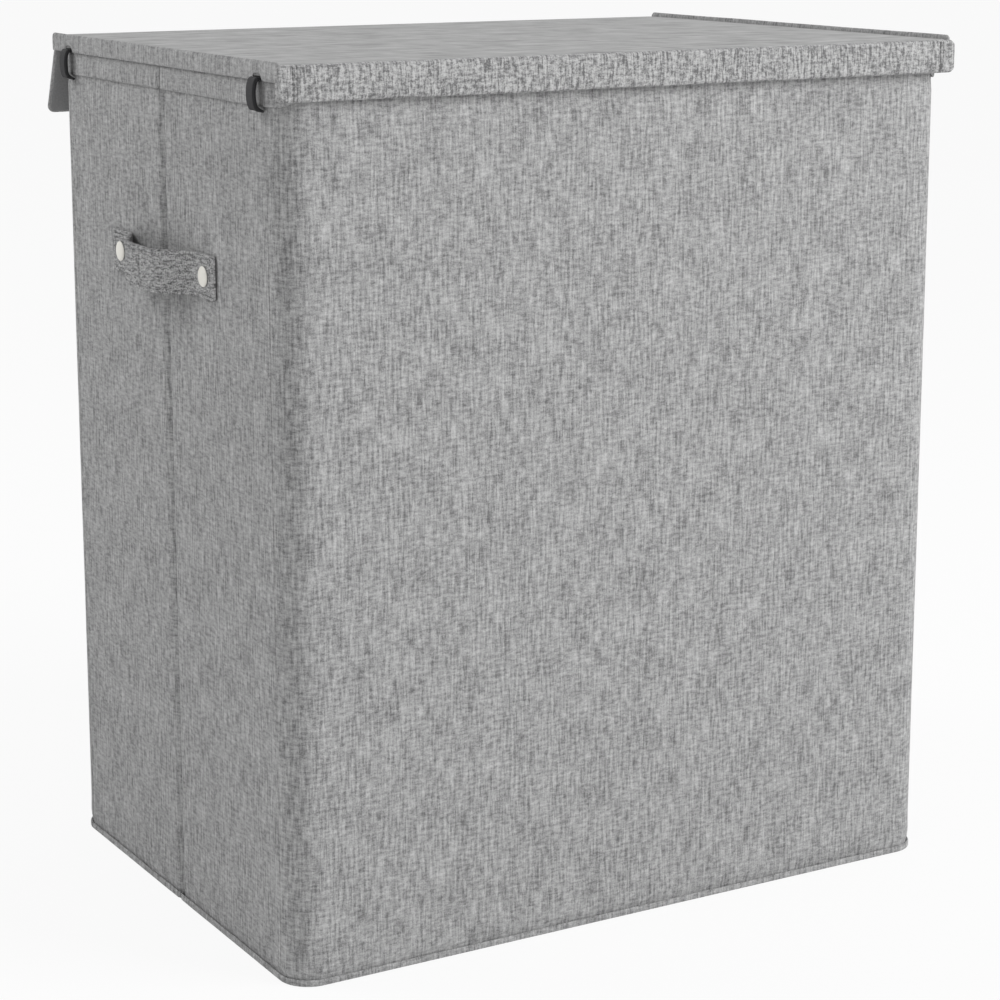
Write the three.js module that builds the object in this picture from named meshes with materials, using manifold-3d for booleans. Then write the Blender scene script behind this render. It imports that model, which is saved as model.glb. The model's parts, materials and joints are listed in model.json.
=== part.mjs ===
// Laundry hamper with two bins: cloth-covered board walls that fold flat, a hinged lid, two lift-out bags.
// Millimetres, +Z up, front towards -Y, origin at the middle of the underside.
import * as THREE from 'three';
import { mergeVertices } from 'three/addons/utils/BufferGeometryUtils.js';
import Module from 'manifold-3d';

const wasm = await Module();
wasm.setup();

// Overall size of the hamper
const WIDTH = 560;
const DEPTH = 400;
const HEIGHT = 650;
const CORNER_R = 22;

// Cloth, board and running clearances
const PLY = 1.0;
const BOARD = 3.0;
const CLEAR = 0.3;
const BAND = 1.2;
const CUT_OVERRUN = 5;
const WALL = PLY + CLEAR + BOARD + CLEAR + PLY;
const BAND_PROUD = CLEAR + BAND;

// Wall trims and the gaps at the folds
const CUFF_HEIGHT = 18;
const WELT_HEIGHT = 5;
const CORNER_GAP = 0.6;
const FOLD_GAP = 1.0;
const FOLD_SEAM = 11;

// Lid
const LID_THICKNESS = 9;
const LID_OVERHANG = 3;
const LID_CORNER_R = 8;
const LID_BOARD = 3.2;
const LIP_HEIGHT = 25;
const LIP_BOARD = 2.0;
const LIP_OVERHANG = 5.5;
const LIP_CORNER_R = 5;
const LIP_STANDOFF = 1.0;

// Rear flap and its fastening tapes
const FLAP_THICKNESS = 3.0;
const FLAP_HEIGHT = 67;
const FLAP_ANGLE = 22;
const FLAP_CORNER_R = 6;
const TAPE = 1.2;
const TAPE_HEIGHT = 16;
const TAPE_LENGTH = 480;

// Elastic loops over the rim
const ELASTIC = 1.6;
const ELASTIC_WIDTH = 11;
const ELASTIC_FROM_CORNER = 1;
const ELASTIC_BOW = 6;
const ELASTIC_BELOW_CUFF = 2;
const ELASTIC_INSIDE = 26;

// Side handles
const STRAP_THICKNESS = 3.0;
const STRAP_HEIGHT = 32;
const STRAP_LENGTH = 185;
const STRAP_BOW = 17;
const STRAP_Z = 494;
const STRAP_RISE_START = 64;
const STRAP_RISE_END = 22;
const RIVET_SPACING = 152;
const RIVET_HEAD_R = 7.5;
const RIVET_HEAD_HEIGHT = 2.2;
const RIVET_SHANK_R = 2.5;
const WASHER_R = 6;
const WASHER = 0.9;

// Base and the lift-out bags
const BASE_BOARD = 4.0;
const BAG_CLOTH = 1.0;
const BAG_GAP = 2.0;
const BAG_FRONT_GAP = 1.6;
const HEM_HEIGHT = 14;
const HEM_THICKNESS = 2.4;
const HEM_BELOW_CUFF = 8;
const WEBBING = 2.0;
const WEBBING_WIDTH = 24;
const WEBBING_SPAN = 120;
const WEBBING_DROP = 95;

// Smoothness of the round forms
const ARC_STEPS = 6;
const RIBBON_STEPS = 24;
const ROUND_STEPS = 20;
const SAME_POINT = 1e-6;

// Levels and planes that the pieces share
const lidUnder = HEIGHT - LID_THICKNESS;
const cuffTop = lidUnder - CLEAR - ELASTIC - CLEAR;
const cuffBottom = cuffTop - CUFF_HEIGHT;
const coverTop = cuffTop - BAND - CLEAR;
const coverBottom = BAND + CLEAR;
const cornerY = DEPTH / 2 - CORNER_R;
const innerX = WIDTH / 2 - WALL - BAND_PROUD;
const innerY = DEPTH / 2 - WALL - BAND_PROUD;
const innerR = CORNER_R - WALL - BAND_PROUD;
const baseTop = PLY + CLEAR + BASE_BOARD + CLEAR;
const sideStart = FOLD_GAP / 2;
const sideEnd = cornerY - CORNER_GAP;
const hookTapeFace = DEPTH / 2 + BAND_PROUD + CLEAR;
const loopTapeFace = hookTapeFace + TAPE + CLEAR;
const flapFace = loopTapeFace + TAPE + CLEAR;
const lidRear = flapFace - CLEAR;
const lipFace = DEPTH / 2 + BAND_PROUD + LIP_STANDOFF;
const lidFront = lipFace - CLEAR;
const lipThickness = PLY + CLEAR + LIP_BOARD + CLEAR + PLY;
const lidHalfX = WIDTH / 2 + LID_OVERHANG;

const LEFT = -1;
const RIGHT = 1;
const FRONT = -1;
const REAR = 1;
const SIDES = [[LEFT, 'left'], [RIGHT, 'right']];
const ENDS = [[REAR, 'rear'], [FRONT, 'front']];

const hamper = new THREE.Group();

const finishes = {
  wall: { color: 0x9d9d9d, roughness: 0.95 },
  trim: { color: 0x979797, roughness: 0.95 },
  lid: { color: 0xa5a5a5, roughness: 0.9 },
  handle: { color: 0x858585, roughness: 0.95 },
  board: { color: 0xa98f6c, roughness: 0.9 },
  foam: { color: 0xe8e6e0, roughness: 1.0 },
  elastic: { color: 0x2b2b2c, roughness: 0.8 },
  tape: { color: 0x3a3a3b, roughness: 1.0 },
  rivet: { color: 0xe9e6dc, roughness: 0.35 },
  washer: { color: 0xc0c0bd, roughness: 0.4, metalness: 1.0 },
  bag: { color: 0xd9d7d1, roughness: 1.0 },
  webbing: { color: 0xb9b7b1, roughness: 0.95 },
};

// Adds one named piece with its finish
function add(name, geometry, finish) {
  const material = new THREE.MeshStandardMaterial({ ...finishes[finish], flatShading: true });
  const mesh = new THREE.Mesh(geometry, material);
  mesh.name = name;
  hamper.add(mesh);
}

// A closed geometry as a solid for cutting
function toSolid(geometry) {
  const bare = geometry.clone();
  bare.deleteAttribute('normal');
  bare.deleteAttribute('uv');
  const merged = mergeVertices(bare);
  return new wasm.Manifold(new wasm.Mesh({
    numProp: 3,
    vertProperties: merged.attributes.position.array,
    triVerts: Uint32Array.from(merged.index.array),
  }));
}

// The first geometry with the others cut out of it
function cut(geometry, ...cutters) {
  let solid = toSolid(geometry);
  for (const cutter of cutters) {
    solid = solid.subtract(toSolid(cutter));
  }
  const result = solid.getMesh();
  const made = new THREE.BufferGeometry();
  made.setAttribute('position', new THREE.BufferAttribute(result.vertProperties, 3));
  made.setIndex(new THREE.BufferAttribute(result.triVerts, 1));
  return made;
}

// A block between two opposite corners, given in any order
function block(xs, ys, zs) {
  const size = [xs, ys, zs].map(([from, to]) => Math.abs(to - from));
  const middle = [xs, ys, zs].map(([from, to]) => (from + to) / 2);
  return new THREE.BoxGeometry(...size).translate(...middle);
}

// A plan outline raised between two levels
function slab(shape, bottom, top) {
  const options = { depth: top - bottom, bevelEnabled: false };
  return new THREE.ExtrudeGeometry(shape, options).translate(0, 0, bottom);
}

// An outline in Y and Z drawn out along X
function alongX(shape, from, to) {
  const turn = new THREE.Matrix4().makeBasis(
    new THREE.Vector3(0, 1, 0), new THREE.Vector3(0, 0, 1), new THREE.Vector3(1, 0, 0));
  return slab(shape, from, to).applyMatrix4(turn);
}

// An outline in X and Z drawn out along Y
function alongY(shape, from, to) {
  const turn = new THREE.Matrix4().makeBasis(
    new THREE.Vector3(1, 0, 0), new THREE.Vector3(0, 0, 1), new THREE.Vector3(0, -1, 0));
  return slab(shape, -to, -from).applyMatrix4(turn);
}

// A closed outline through the points, without repeats of one point
function outline(points) {
  const kept = points.filter(([u, v], i) => {
    const [lastU, lastV] = points[(i + points.length - 1) % points.length];
    return Math.hypot(u - lastU, v - lastV) > SAME_POINT;
  });
  const line = kept.map(([u, v]) => new THREE.Vector2(u, v));
  return new THREE.Shape(THREE.ShapeUtils.isClockWise(line) ? line.reverse() : line);
}

// Points along an arc, from one angle to another in quarter turns
function arc(u, v, radius, fromQuarter, toQuarter) {
  const points = [];
  for (let i = 0; i <= ARC_STEPS; i += 1) {
    const turn = (fromQuarter + (toQuarter - fromQuarter) * i / ARC_STEPS) * Math.PI / 2;
    points.push([u + radius * Math.cos(turn), v + radius * Math.sin(turn)]);
  }
  return points;
}

function rectangle([u0, u1], [v0, v1]) {
  return outline([[u0, v0], [u1, v0], [u1, v1], [u0, v1]]);
}

// A rectangle with four round corners
function roundRectangle([u0, u1], [v0, v1], radius) {
  return outline([
    ...arc(u1 - radius, v1 - radius, radius, 0, 1),
    ...arc(u0 + radius, v1 - radius, radius, 1, 2),
    ...arc(u0 + radius, v0 + radius, radius, 2, 3),
    ...arc(u1 - radius, v0 + radius, radius, 3, 4),
  ]);
}

// The outline of a strip of even thickness along a line of points
function ribbon(points, thickness) {
  const line = points.map(([u, v]) => new THREE.Vector2(u, v));
  const normals = line.map((point, i) => {
    const before = line[Math.max(i - 1, 0)];
    const after = line[Math.min(i + 1, line.length - 1)];
    const along = after.clone().sub(before).normalize();
    return new THREE.Vector2(-along.y, along.x).multiplyScalar(thickness / 2);
  });
  const near = line.map((point, i) => point.clone().add(normals[i]));
  const far = line.map((point, i) => point.clone().sub(normals[i])).reverse();
  return new THREE.Shape([...near, ...far]);
}

// A pin or disc turned on an axis that points out of one side wall
function turned(profile, side, y, z) {
  const points = profile.map(([radius, out]) => new THREE.Vector2(radius, out));
  const piece = new THREE.LatheGeometry(points, ROUND_STEPS);
  return piece.rotateZ(-side * Math.PI / 2).translate(0, y, z);
}

// The front wall seen from above, with its two round corners; grow widens it to both faces
function frontPlan(grow, extra) {
  const outerR = CORNER_R + grow;
  const insideR = CORNER_R - WALL - grow;
  const centreX = WIDTH / 2 - CORNER_R;
  const endY = -cornerY + extra;
  return outline([
    [-centreX - outerR, endY],
    ...arc(-centreX, -cornerY, outerR, 2, 3),
    ...arc(centreX, -cornerY, outerR, 3, 4),
    [centreX + outerR, endY],
    [centreX + insideR, endY],
    ...arc(centreX, -cornerY, insideR, 4, 3),
    ...arc(-centreX, -cornerY, insideR, 3, 2),
    [-centreX - insideR, endY],
  ]);
}

// Half a side wall seen from above, from the middle fold to the corner
function sidePlan(side, end, grow, extra) {
  const xs = [side * (WIDTH / 2 + grow), side * (WIDTH / 2 - WALL - grow)];
  const ys = [end * (sideStart - extra), end * (sideEnd + extra)];
  return rectangle(xs, ys);
}

// The turned-over cuff that caps a wall, and the binding that closes its foot
function cuff(plan) {
  const body = slab(plan(BAND_PROUD, 0), cuffBottom, cuffTop);
  return cut(body, slab(plan(CLEAR, CUT_OVERRUN), cuffBottom - CUT_OVERRUN, cuffTop - BAND));
}

function welt(plan) {
  const body = slab(plan(BAND_PROUD, 0), 0, WELT_HEIGHT);
  return cut(body, slab(plan(CLEAR, CUT_OVERRUN), BAND, WELT_HEIGHT + CUT_OVERRUN));
}

// A front-type wall; the rear one is the same turned half a turn
function endWall(name, turn) {
  const pocketX = WIDTH / 2 - CORNER_R;
  const faceY = -DEPTH / 2 + PLY;
  const plan = frontPlan(0, 0);
  plan.holes.push(rectangle([-pocketX, pocketX], [faceY, faceY + BOARD + CLEAR + CLEAR]));
  const boardX = pocketX - CLEAR;
  const boardY = [faceY + CLEAR, faceY + CLEAR + BOARD];
  add(`${name}_cover`, slab(plan, coverBottom, coverTop).rotateZ(turn), 'wall');
  add(`${name}_board`, block([-boardX, boardX], boardY, [coverBottom, coverTop]).rotateZ(turn), 'board');
  add(`${name}_cuff`, cuff(frontPlan).rotateZ(turn), 'trim');
  add(`${name}_welt`, welt(frontPlan).rotateZ(turn), 'trim');
}

// A bore through a side wall for one rivet
function rivetBore(side, end) {
  const reach = WALL + CUT_OVERRUN + STRAP_THICKNESS;
  const bore = new THREE.CylinderGeometry(
    RIVET_SHANK_R + CLEAR, RIVET_SHANK_R + CLEAR, reach + CUT_OVERRUN, ROUND_STEPS);
  return bore.rotateZ(Math.PI / 2).translate(side * (WIDTH / 2), end * RIVET_SPACING / 2, STRAP_Z);
}

function sideHalf(side, end, name) {
  const plan = (grow, extra) => sidePlan(side, end, grow, extra);
  const pocketX = WIDTH / 2 - PLY;
  const shape = plan(0, 0);
  shape.holes.push(rectangle(
    [side * pocketX, side * (pocketX - BOARD - CLEAR - CLEAR)],
    [end * (sideStart + FOLD_SEAM), end * (sideEnd - PLY)]));
  const board = block(
    [side * (pocketX - CLEAR), side * (pocketX - CLEAR - BOARD)],
    [end * (sideStart + FOLD_SEAM + CLEAR), end * (sideEnd - PLY - CLEAR)],
    [coverBottom, coverTop]);
  const bore = rivetBore(side, end);
  add(`${name}_cover`, cut(slab(shape, coverBottom, coverTop), bore), 'wall');
  add(`${name}_board`, cut(board, bore), 'board');
  add(`${name}_cuff`, cuff(plan), 'trim');
  add(`${name}_welt`, welt(plan), 'trim');
}

// A rivet through the strap and the wall, and the washer that it is set on inside
function rivet(side, end, name) {
  const y = end * RIVET_SPACING / 2;
  const headBase = WIDTH / 2 + CLEAR + STRAP_THICKNESS + CLEAR;
  const washerFace = WIDTH / 2 - WALL - CLEAR;
  const tail = washerFace - WASHER;
  const dome = [];
  for (let i = ARC_STEPS; i > 0; i -= 1) {
    const turn = (i / ARC_STEPS) * Math.PI / 2;
    dome.push([RIVET_HEAD_R * Math.sin(turn), headBase + RIVET_HEAD_HEIGHT * Math.cos(turn)]);
  }
  const shank = [[0, tail], [RIVET_SHANK_R, tail], [RIVET_SHANK_R, headBase]];
  const profile = [...shank, ...dome, [0, headBase + RIVET_HEAD_HEIGHT]];
  const holeR = RIVET_SHANK_R + CLEAR;
  const ring = [[holeR, tail], [WASHER_R, tail], [WASHER_R, washerFace], [holeR, washerFace], [holeR, tail]];
  add(`${name}_rivet`, turned(profile, side, y, STRAP_Z), 'rivet');
  add(`${name}_washer`, turned(ring, side, y, STRAP_Z), 'washer');
}

// How far the handle strap stands off the wall at a place along it
function strapBow(y) {
  const share = (STRAP_RISE_START - Math.abs(y)) / (STRAP_RISE_START - STRAP_RISE_END);
  return STRAP_BOW * THREE.MathUtils.smoothstep(share, 0, 1);
}

function handleStrap(side, name) {
  const points = [];
  for (let i = 0; i <= RIBBON_STEPS; i += 1) {
    const y = STRAP_LENGTH * (i / RIBBON_STEPS - 1 / 2);
    const out = WIDTH / 2 + CLEAR + STRAP_THICKNESS / 2 + strapBow(y);
    points.push([side * out, y]);
  }
  const strip = slab(ribbon(points, STRAP_THICKNESS), STRAP_Z - STRAP_HEIGHT / 2, STRAP_Z + STRAP_HEIGHT / 2);
  add(`${name}_handle`, cut(strip, rivetBore(side, REAR), rivetBore(side, FRONT)), 'handle');
}

// An elastic loop that comes up inside, crosses the rim under the lid and bows down outside
function elasticLoop(side, end, name) {
  const half = ELASTIC / 2;
  const inside = innerX - CLEAR - half;
  const outside = WIDTH / 2 + BAND_PROUD + CLEAR + half;
  const over = cuffTop + CLEAR + half;
  const low = cuffBottom - ELASTIC_BELOW_CUFF;
  const middle = (over + low) / 2;
  const bend = CLEAR + half;
  const bowed = arc(0, 0, 1, 1, -1).map(([out, up]) => [
    outside + ELASTIC_BOW * out,
    middle + (over - middle) * up,
  ]);
  const points = [
    [inside, cuffTop - ELASTIC_INSIDE],
    ...arc(inside + bend, over - bend, bend, 2, 1),
    ...bowed,
    [WIDTH / 2 + CLEAR + half, low - ELASTIC],
  ].map(([out, z]) => [side * out, z]);
  const far = end * (sideEnd - ELASTIC_FROM_CORNER);
  const near = end * (sideEnd - ELASTIC_FROM_CORNER - ELASTIC_WIDTH);
  const strip = alongY(ribbon(points, ELASTIC), Math.min(near, far), Math.max(near, far));
  add(`${name}_elastic`, strip, 'elastic');
}

// The sewn bottom: a shallow cloth tray with a stiff board in it
function base() {
  const x = innerX - CLEAR;
  const y = innerY - CLEAR;
  const radius = innerR - CLEAR;
  const tray = slab(roundRectangle([-x, x], [-y, y], radius), 0, baseTop);
  const inset = x - PLY;
  const insetY = y - PLY;
  const insetR = radius - PLY;
  const hollow = roundRectangle([-inset, inset], [-insetY, insetY], insetR);
  const boardX = inset - CLEAR;
  const boardY = insetY - CLEAR;
  const board = roundRectangle([-boardX, boardX], [-boardY, boardY], insetR - CLEAR);
  add('base_cloth', cut(tray, slab(hollow, PLY, baseTop + CUT_OVERRUN)), 'wall');
  add('base_board', slab(board, PLY + CLEAR, PLY + CLEAR + BASE_BOARD), 'board');
}

// The lid: a cloth top with turned-down edges over foam and board, closed by a lining
function lid() {
  const top = roundRectangle([-lidHalfX, lidHalfX], [-lidFront, lidRear], LID_CORNER_R);
  const plate = (inset, low, high) => slab(
    roundRectangle(
      [-lidHalfX + inset, lidHalfX - inset],
      [-lidFront + inset, lidRear - inset],
      LID_CORNER_R - inset),
    low, high);
  const inner = PLY + CLEAR;
  const clothUnder = HEIGHT - PLY;
  const liningTop = lidUnder + PLY + CLEAR;
  const boardLow = liningTop + CLEAR;
  const boardHigh = boardLow + LID_BOARD;
  add('lid_top_cloth', cut(slab(top, lidUnder, HEIGHT), plate(PLY, lidUnder - CUT_OVERRUN, clothUnder)), 'lid');
  add('lid_board', plate(inner, boardLow, boardHigh), 'board');
  add('lid_foam', plate(inner, boardHigh + CLEAR, clothUnder - CLEAR), 'foam');
  add('lid_lining', plate(inner, liningTop - PLY, liningTop), 'bag');
}

// The front lip: a sewn strip with a stiffener, hanging from the lid's front edge
function lip() {
  const halfX = WIDTH / 2 + LIP_OVERHANG;
  const bottom = HEIGHT - LIP_HEIGHT;
  const outer = alongY(
    roundRectangle([-halfX, halfX], [bottom, HEIGHT], LIP_CORNER_R), -lipFace - lipThickness, -lipFace);
  const pocketX = halfX - LIP_CORNER_R;
  const pocketY = [-lipFace - PLY - LIP_BOARD - CLEAR - CLEAR, -lipFace - PLY];
  const boardX = pocketX - CLEAR;
  const boardY = [pocketY[0] + CLEAR, pocketY[1] - CLEAR];
  const pocket = block([-pocketX, pocketX], pocketY, [bottom + PLY, HEIGHT + CUT_OVERRUN]);
  add('lid_lip_cloth', cut(outer, pocket), 'handle');
  add('lid_lip_board', block([-boardX, boardX], boardY, [bottom + PLY + CLEAR, HEIGHT - PLY - CLEAR]), 'board');
}

// The rear flap and its loop tape, sprung out from the hook tape on the back wall
function rearFlap() {
  const top = HEIGHT - CLEAR;
  const hingeY = flapFace + FLAP_THICKNESS;
  const sprung = (geometry) => geometry
    .translate(0, -hingeY, -top)
    .rotateX(THREE.MathUtils.degToRad(FLAP_ANGLE))
    .translate(0, hingeY, top);
  const plan = roundRectangle([-WIDTH / 2, WIDTH / 2], [top - FLAP_HEIGHT, top], FLAP_CORNER_R);
  add('rear_flap', sprung(alongY(plan, flapFace, hingeY)), 'trim');
  const tapeX = [-TAPE_LENGTH / 2, TAPE_LENGTH / 2];
  const tapeTop = cuffTop - CLEAR;
  const tapeZ = [tapeTop - TAPE_HEIGHT, tapeTop];
  add('hook_tape', block(tapeX, [hookTapeFace, hookTapeFace + TAPE], tapeZ), 'tape');
  add('loop_tape', sprung(block(tapeX, [loopTapeFace, loopTapeFace + TAPE], tapeZ)), 'tape');
}

// One lift-out bag with its hem and two carrying handles
function bag(side, name) {
  const outerX = innerX - CLEAR - ELASTIC - CLEAR;
  const xs = [side * BAG_GAP / 2, side * outerX].sort((a, b) => a - b);
  const y = innerY - BAG_FRONT_GAP;
  const radius = innerR;
  const floor = baseTop + CLEAR;
  const hemTop = cuffTop - HEM_BELOW_CUFF;
  const hemBottom = hemTop - HEM_HEIGHT;
  const bagTop = hemBottom - CLEAR;
  const ring = (inset) => roundRectangle(
    [xs[0] + inset, xs[1] - inset], [-y + inset, y - inset], radius - inset);
  const shell = cut(
    slab(ring(0), floor, bagTop), slab(ring(BAG_CLOTH), floor + BAG_CLOTH, bagTop + CUT_OVERRUN));
  const hem = cut(
    slab(ring(0), hemBottom, hemTop),
    slab(ring(HEM_THICKNESS), hemBottom - CUT_OVERRUN, hemTop + CUT_OVERRUN));
  add(`${name}_bag`, shell, 'bag');
  add(`${name}_bag_hem`, hem, 'webbing');
  const middle = (xs[0] + xs[1]) / 2;
  const halfSpan = WEBBING_SPAN / 2;
  const arch = [];
  for (let i = 0; i <= RIBBON_STEPS; i += 1) {
    const turn = Math.PI * i / RIBBON_STEPS;
    arch.push([middle - halfSpan * Math.cos(turn), hemTop - WEBBING_DROP * Math.sin(turn)]);
  }
  const faceY = y - HEM_THICKNESS - CLEAR;
  for (const [end, endName] of ENDS) {
    const near = end * (faceY - WEBBING);
    const strip = alongY(
      ribbon(arch, WEBBING_WIDTH), Math.min(near, end * faceY), Math.max(near, end * faceY));
    add(`${name}_bag_handle_${endName}`, strip, 'webbing');
  }
}

endWall('front', 0);
endWall('back', Math.PI);
for (const [side, sideName] of SIDES) {
  for (const [end, endName] of ENDS) {
    const name = `${sideName}_${endName}`;
    sideHalf(side, end, name);
    rivet(side, end, name);
    elasticLoop(side, end, name);
  }
  handleStrap(side, sideName);
  bag(side, sideName);
}
base();
lid();
lip();
rearFlap();

export default hamper;
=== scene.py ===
# Laundry hamper with two bins: cloth, trims, lid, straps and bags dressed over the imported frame.
import json
import math
from collections import namedtuple

import bmesh
import bpy
import numpy as np
from mathutils import Vector, noise
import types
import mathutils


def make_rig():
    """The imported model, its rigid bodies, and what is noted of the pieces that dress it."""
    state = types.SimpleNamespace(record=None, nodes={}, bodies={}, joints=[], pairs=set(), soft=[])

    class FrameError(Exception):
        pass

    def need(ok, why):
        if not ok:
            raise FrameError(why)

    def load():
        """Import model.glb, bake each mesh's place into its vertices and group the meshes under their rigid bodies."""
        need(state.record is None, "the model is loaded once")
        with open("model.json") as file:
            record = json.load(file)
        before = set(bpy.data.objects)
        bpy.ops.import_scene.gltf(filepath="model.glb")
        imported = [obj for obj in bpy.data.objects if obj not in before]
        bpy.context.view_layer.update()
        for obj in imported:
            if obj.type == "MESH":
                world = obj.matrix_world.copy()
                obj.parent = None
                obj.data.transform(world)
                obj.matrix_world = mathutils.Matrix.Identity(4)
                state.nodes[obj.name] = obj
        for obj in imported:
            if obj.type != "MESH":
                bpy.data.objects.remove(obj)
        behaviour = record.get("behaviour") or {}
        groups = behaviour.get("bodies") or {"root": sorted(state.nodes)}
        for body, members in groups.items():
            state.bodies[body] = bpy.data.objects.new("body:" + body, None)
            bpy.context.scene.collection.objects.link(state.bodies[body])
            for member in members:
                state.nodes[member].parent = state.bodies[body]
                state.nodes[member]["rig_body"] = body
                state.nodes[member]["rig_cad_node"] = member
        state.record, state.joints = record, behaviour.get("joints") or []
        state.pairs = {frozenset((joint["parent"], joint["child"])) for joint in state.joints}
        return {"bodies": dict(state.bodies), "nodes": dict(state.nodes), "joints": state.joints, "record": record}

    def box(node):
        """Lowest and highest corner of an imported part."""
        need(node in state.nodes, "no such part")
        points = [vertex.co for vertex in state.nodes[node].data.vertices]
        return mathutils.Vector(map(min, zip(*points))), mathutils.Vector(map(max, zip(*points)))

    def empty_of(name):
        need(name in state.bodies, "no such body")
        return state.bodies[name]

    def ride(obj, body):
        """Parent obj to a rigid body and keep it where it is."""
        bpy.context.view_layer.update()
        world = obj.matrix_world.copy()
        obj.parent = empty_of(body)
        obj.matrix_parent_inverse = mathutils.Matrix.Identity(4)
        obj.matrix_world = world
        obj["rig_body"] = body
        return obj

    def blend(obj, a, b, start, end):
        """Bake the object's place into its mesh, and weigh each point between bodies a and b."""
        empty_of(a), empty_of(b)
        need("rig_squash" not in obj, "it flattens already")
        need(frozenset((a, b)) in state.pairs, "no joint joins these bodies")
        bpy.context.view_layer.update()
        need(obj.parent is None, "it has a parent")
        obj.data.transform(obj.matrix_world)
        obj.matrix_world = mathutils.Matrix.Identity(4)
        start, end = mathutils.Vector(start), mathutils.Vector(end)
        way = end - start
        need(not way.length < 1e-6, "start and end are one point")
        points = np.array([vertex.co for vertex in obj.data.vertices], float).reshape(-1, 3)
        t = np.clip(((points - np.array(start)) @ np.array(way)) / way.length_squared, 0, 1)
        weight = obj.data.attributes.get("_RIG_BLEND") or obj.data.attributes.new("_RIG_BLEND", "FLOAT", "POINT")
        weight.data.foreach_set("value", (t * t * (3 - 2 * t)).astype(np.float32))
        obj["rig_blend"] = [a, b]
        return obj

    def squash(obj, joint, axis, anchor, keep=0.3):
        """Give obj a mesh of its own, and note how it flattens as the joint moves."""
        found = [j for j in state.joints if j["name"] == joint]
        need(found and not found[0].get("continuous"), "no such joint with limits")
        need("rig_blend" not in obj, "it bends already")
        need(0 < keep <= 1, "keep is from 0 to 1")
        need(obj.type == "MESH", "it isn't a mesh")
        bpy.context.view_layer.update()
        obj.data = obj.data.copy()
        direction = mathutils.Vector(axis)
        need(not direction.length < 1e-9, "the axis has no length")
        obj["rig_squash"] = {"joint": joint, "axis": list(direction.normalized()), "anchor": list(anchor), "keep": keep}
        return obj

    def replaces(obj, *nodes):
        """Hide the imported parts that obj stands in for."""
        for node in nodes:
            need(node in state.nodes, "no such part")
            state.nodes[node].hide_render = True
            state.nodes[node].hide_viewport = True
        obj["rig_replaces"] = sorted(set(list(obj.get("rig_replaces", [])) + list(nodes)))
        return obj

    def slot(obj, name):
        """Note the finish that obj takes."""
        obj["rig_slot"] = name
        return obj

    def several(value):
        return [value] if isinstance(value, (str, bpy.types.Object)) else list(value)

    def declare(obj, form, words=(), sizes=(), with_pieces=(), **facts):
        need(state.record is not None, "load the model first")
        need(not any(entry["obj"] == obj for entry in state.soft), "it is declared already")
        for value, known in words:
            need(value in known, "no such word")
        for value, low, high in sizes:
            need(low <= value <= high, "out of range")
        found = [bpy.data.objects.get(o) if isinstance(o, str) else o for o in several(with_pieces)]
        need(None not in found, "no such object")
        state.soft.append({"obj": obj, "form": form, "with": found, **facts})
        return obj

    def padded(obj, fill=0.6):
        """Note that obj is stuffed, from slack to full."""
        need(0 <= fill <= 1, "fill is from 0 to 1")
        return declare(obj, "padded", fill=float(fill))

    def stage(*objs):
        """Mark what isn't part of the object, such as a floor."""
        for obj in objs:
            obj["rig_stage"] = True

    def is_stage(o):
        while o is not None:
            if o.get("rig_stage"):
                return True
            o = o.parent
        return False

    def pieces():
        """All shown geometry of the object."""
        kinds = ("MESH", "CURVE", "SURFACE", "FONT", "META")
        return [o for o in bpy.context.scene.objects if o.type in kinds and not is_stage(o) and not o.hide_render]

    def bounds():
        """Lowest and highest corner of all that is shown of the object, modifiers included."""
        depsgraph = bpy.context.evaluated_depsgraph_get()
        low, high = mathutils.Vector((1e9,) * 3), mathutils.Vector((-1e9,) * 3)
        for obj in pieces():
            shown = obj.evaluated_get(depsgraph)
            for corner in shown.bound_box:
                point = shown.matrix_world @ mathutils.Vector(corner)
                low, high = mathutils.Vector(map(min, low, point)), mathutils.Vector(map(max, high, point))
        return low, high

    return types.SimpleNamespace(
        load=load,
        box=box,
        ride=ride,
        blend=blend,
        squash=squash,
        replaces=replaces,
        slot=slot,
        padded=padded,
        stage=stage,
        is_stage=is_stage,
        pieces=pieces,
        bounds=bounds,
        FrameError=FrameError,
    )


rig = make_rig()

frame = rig.load()

bl_info = {
    "name": "Laundry hamper dressing",
    "version": (1, 0, 0),
    "blender": (4, 5, 0),
    "location": "3D View > Sidebar > Hamper",
    "description": "Dresses the hamper's frame in linen-look cloth, trims, straps, bands and bags",
    "category": "Object",
}

MM = 0.001
TAU = 2 * math.pi
CAD_BOX = [[float(value) for value in corner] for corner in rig.bounds()]

# Boxes of the frame's pieces, each as its low and high corner
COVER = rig.box("front_cover")
SIDE_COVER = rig.box("left_rear_cover")
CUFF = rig.box("front_cuff")
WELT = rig.box("front_welt")
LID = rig.box("lid_top_cloth")
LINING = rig.box("lid_lining")
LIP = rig.box("lid_lip_cloth")
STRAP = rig.box("left_handle")
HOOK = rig.box("hook_tape")
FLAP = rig.box("rear_flap")
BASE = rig.box("base_cloth")
BASE_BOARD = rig.box("base_board")
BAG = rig.box("right_bag")
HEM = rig.box("right_bag_hem")

# Sizes that follow the frame
HALF_WIDTH = COVER[1].x
HALF_DEPTH = -COVER[0].y
CORNER_Y = -COVER[1].y
CORNER_R = HALF_DEPTH - CORNER_Y
QUARTER = CORNER_R * math.pi / 2
HALF_RUN = HALF_WIDTH - CORNER_R + QUARTER
WALL = SIDE_COVER[1].x - SIDE_COVER[0].x
PROUD = CUFF[1].x - HALF_WIDTH
FOLD_HALF_GAP = SIDE_COVER[0].y
COVER_LOW, COVER_HIGH = COVER[0].z, COVER[1].z
TOP = LID[1].z
STRAP_Z = (STRAP[0].z + STRAP[1].z) / 2

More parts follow.
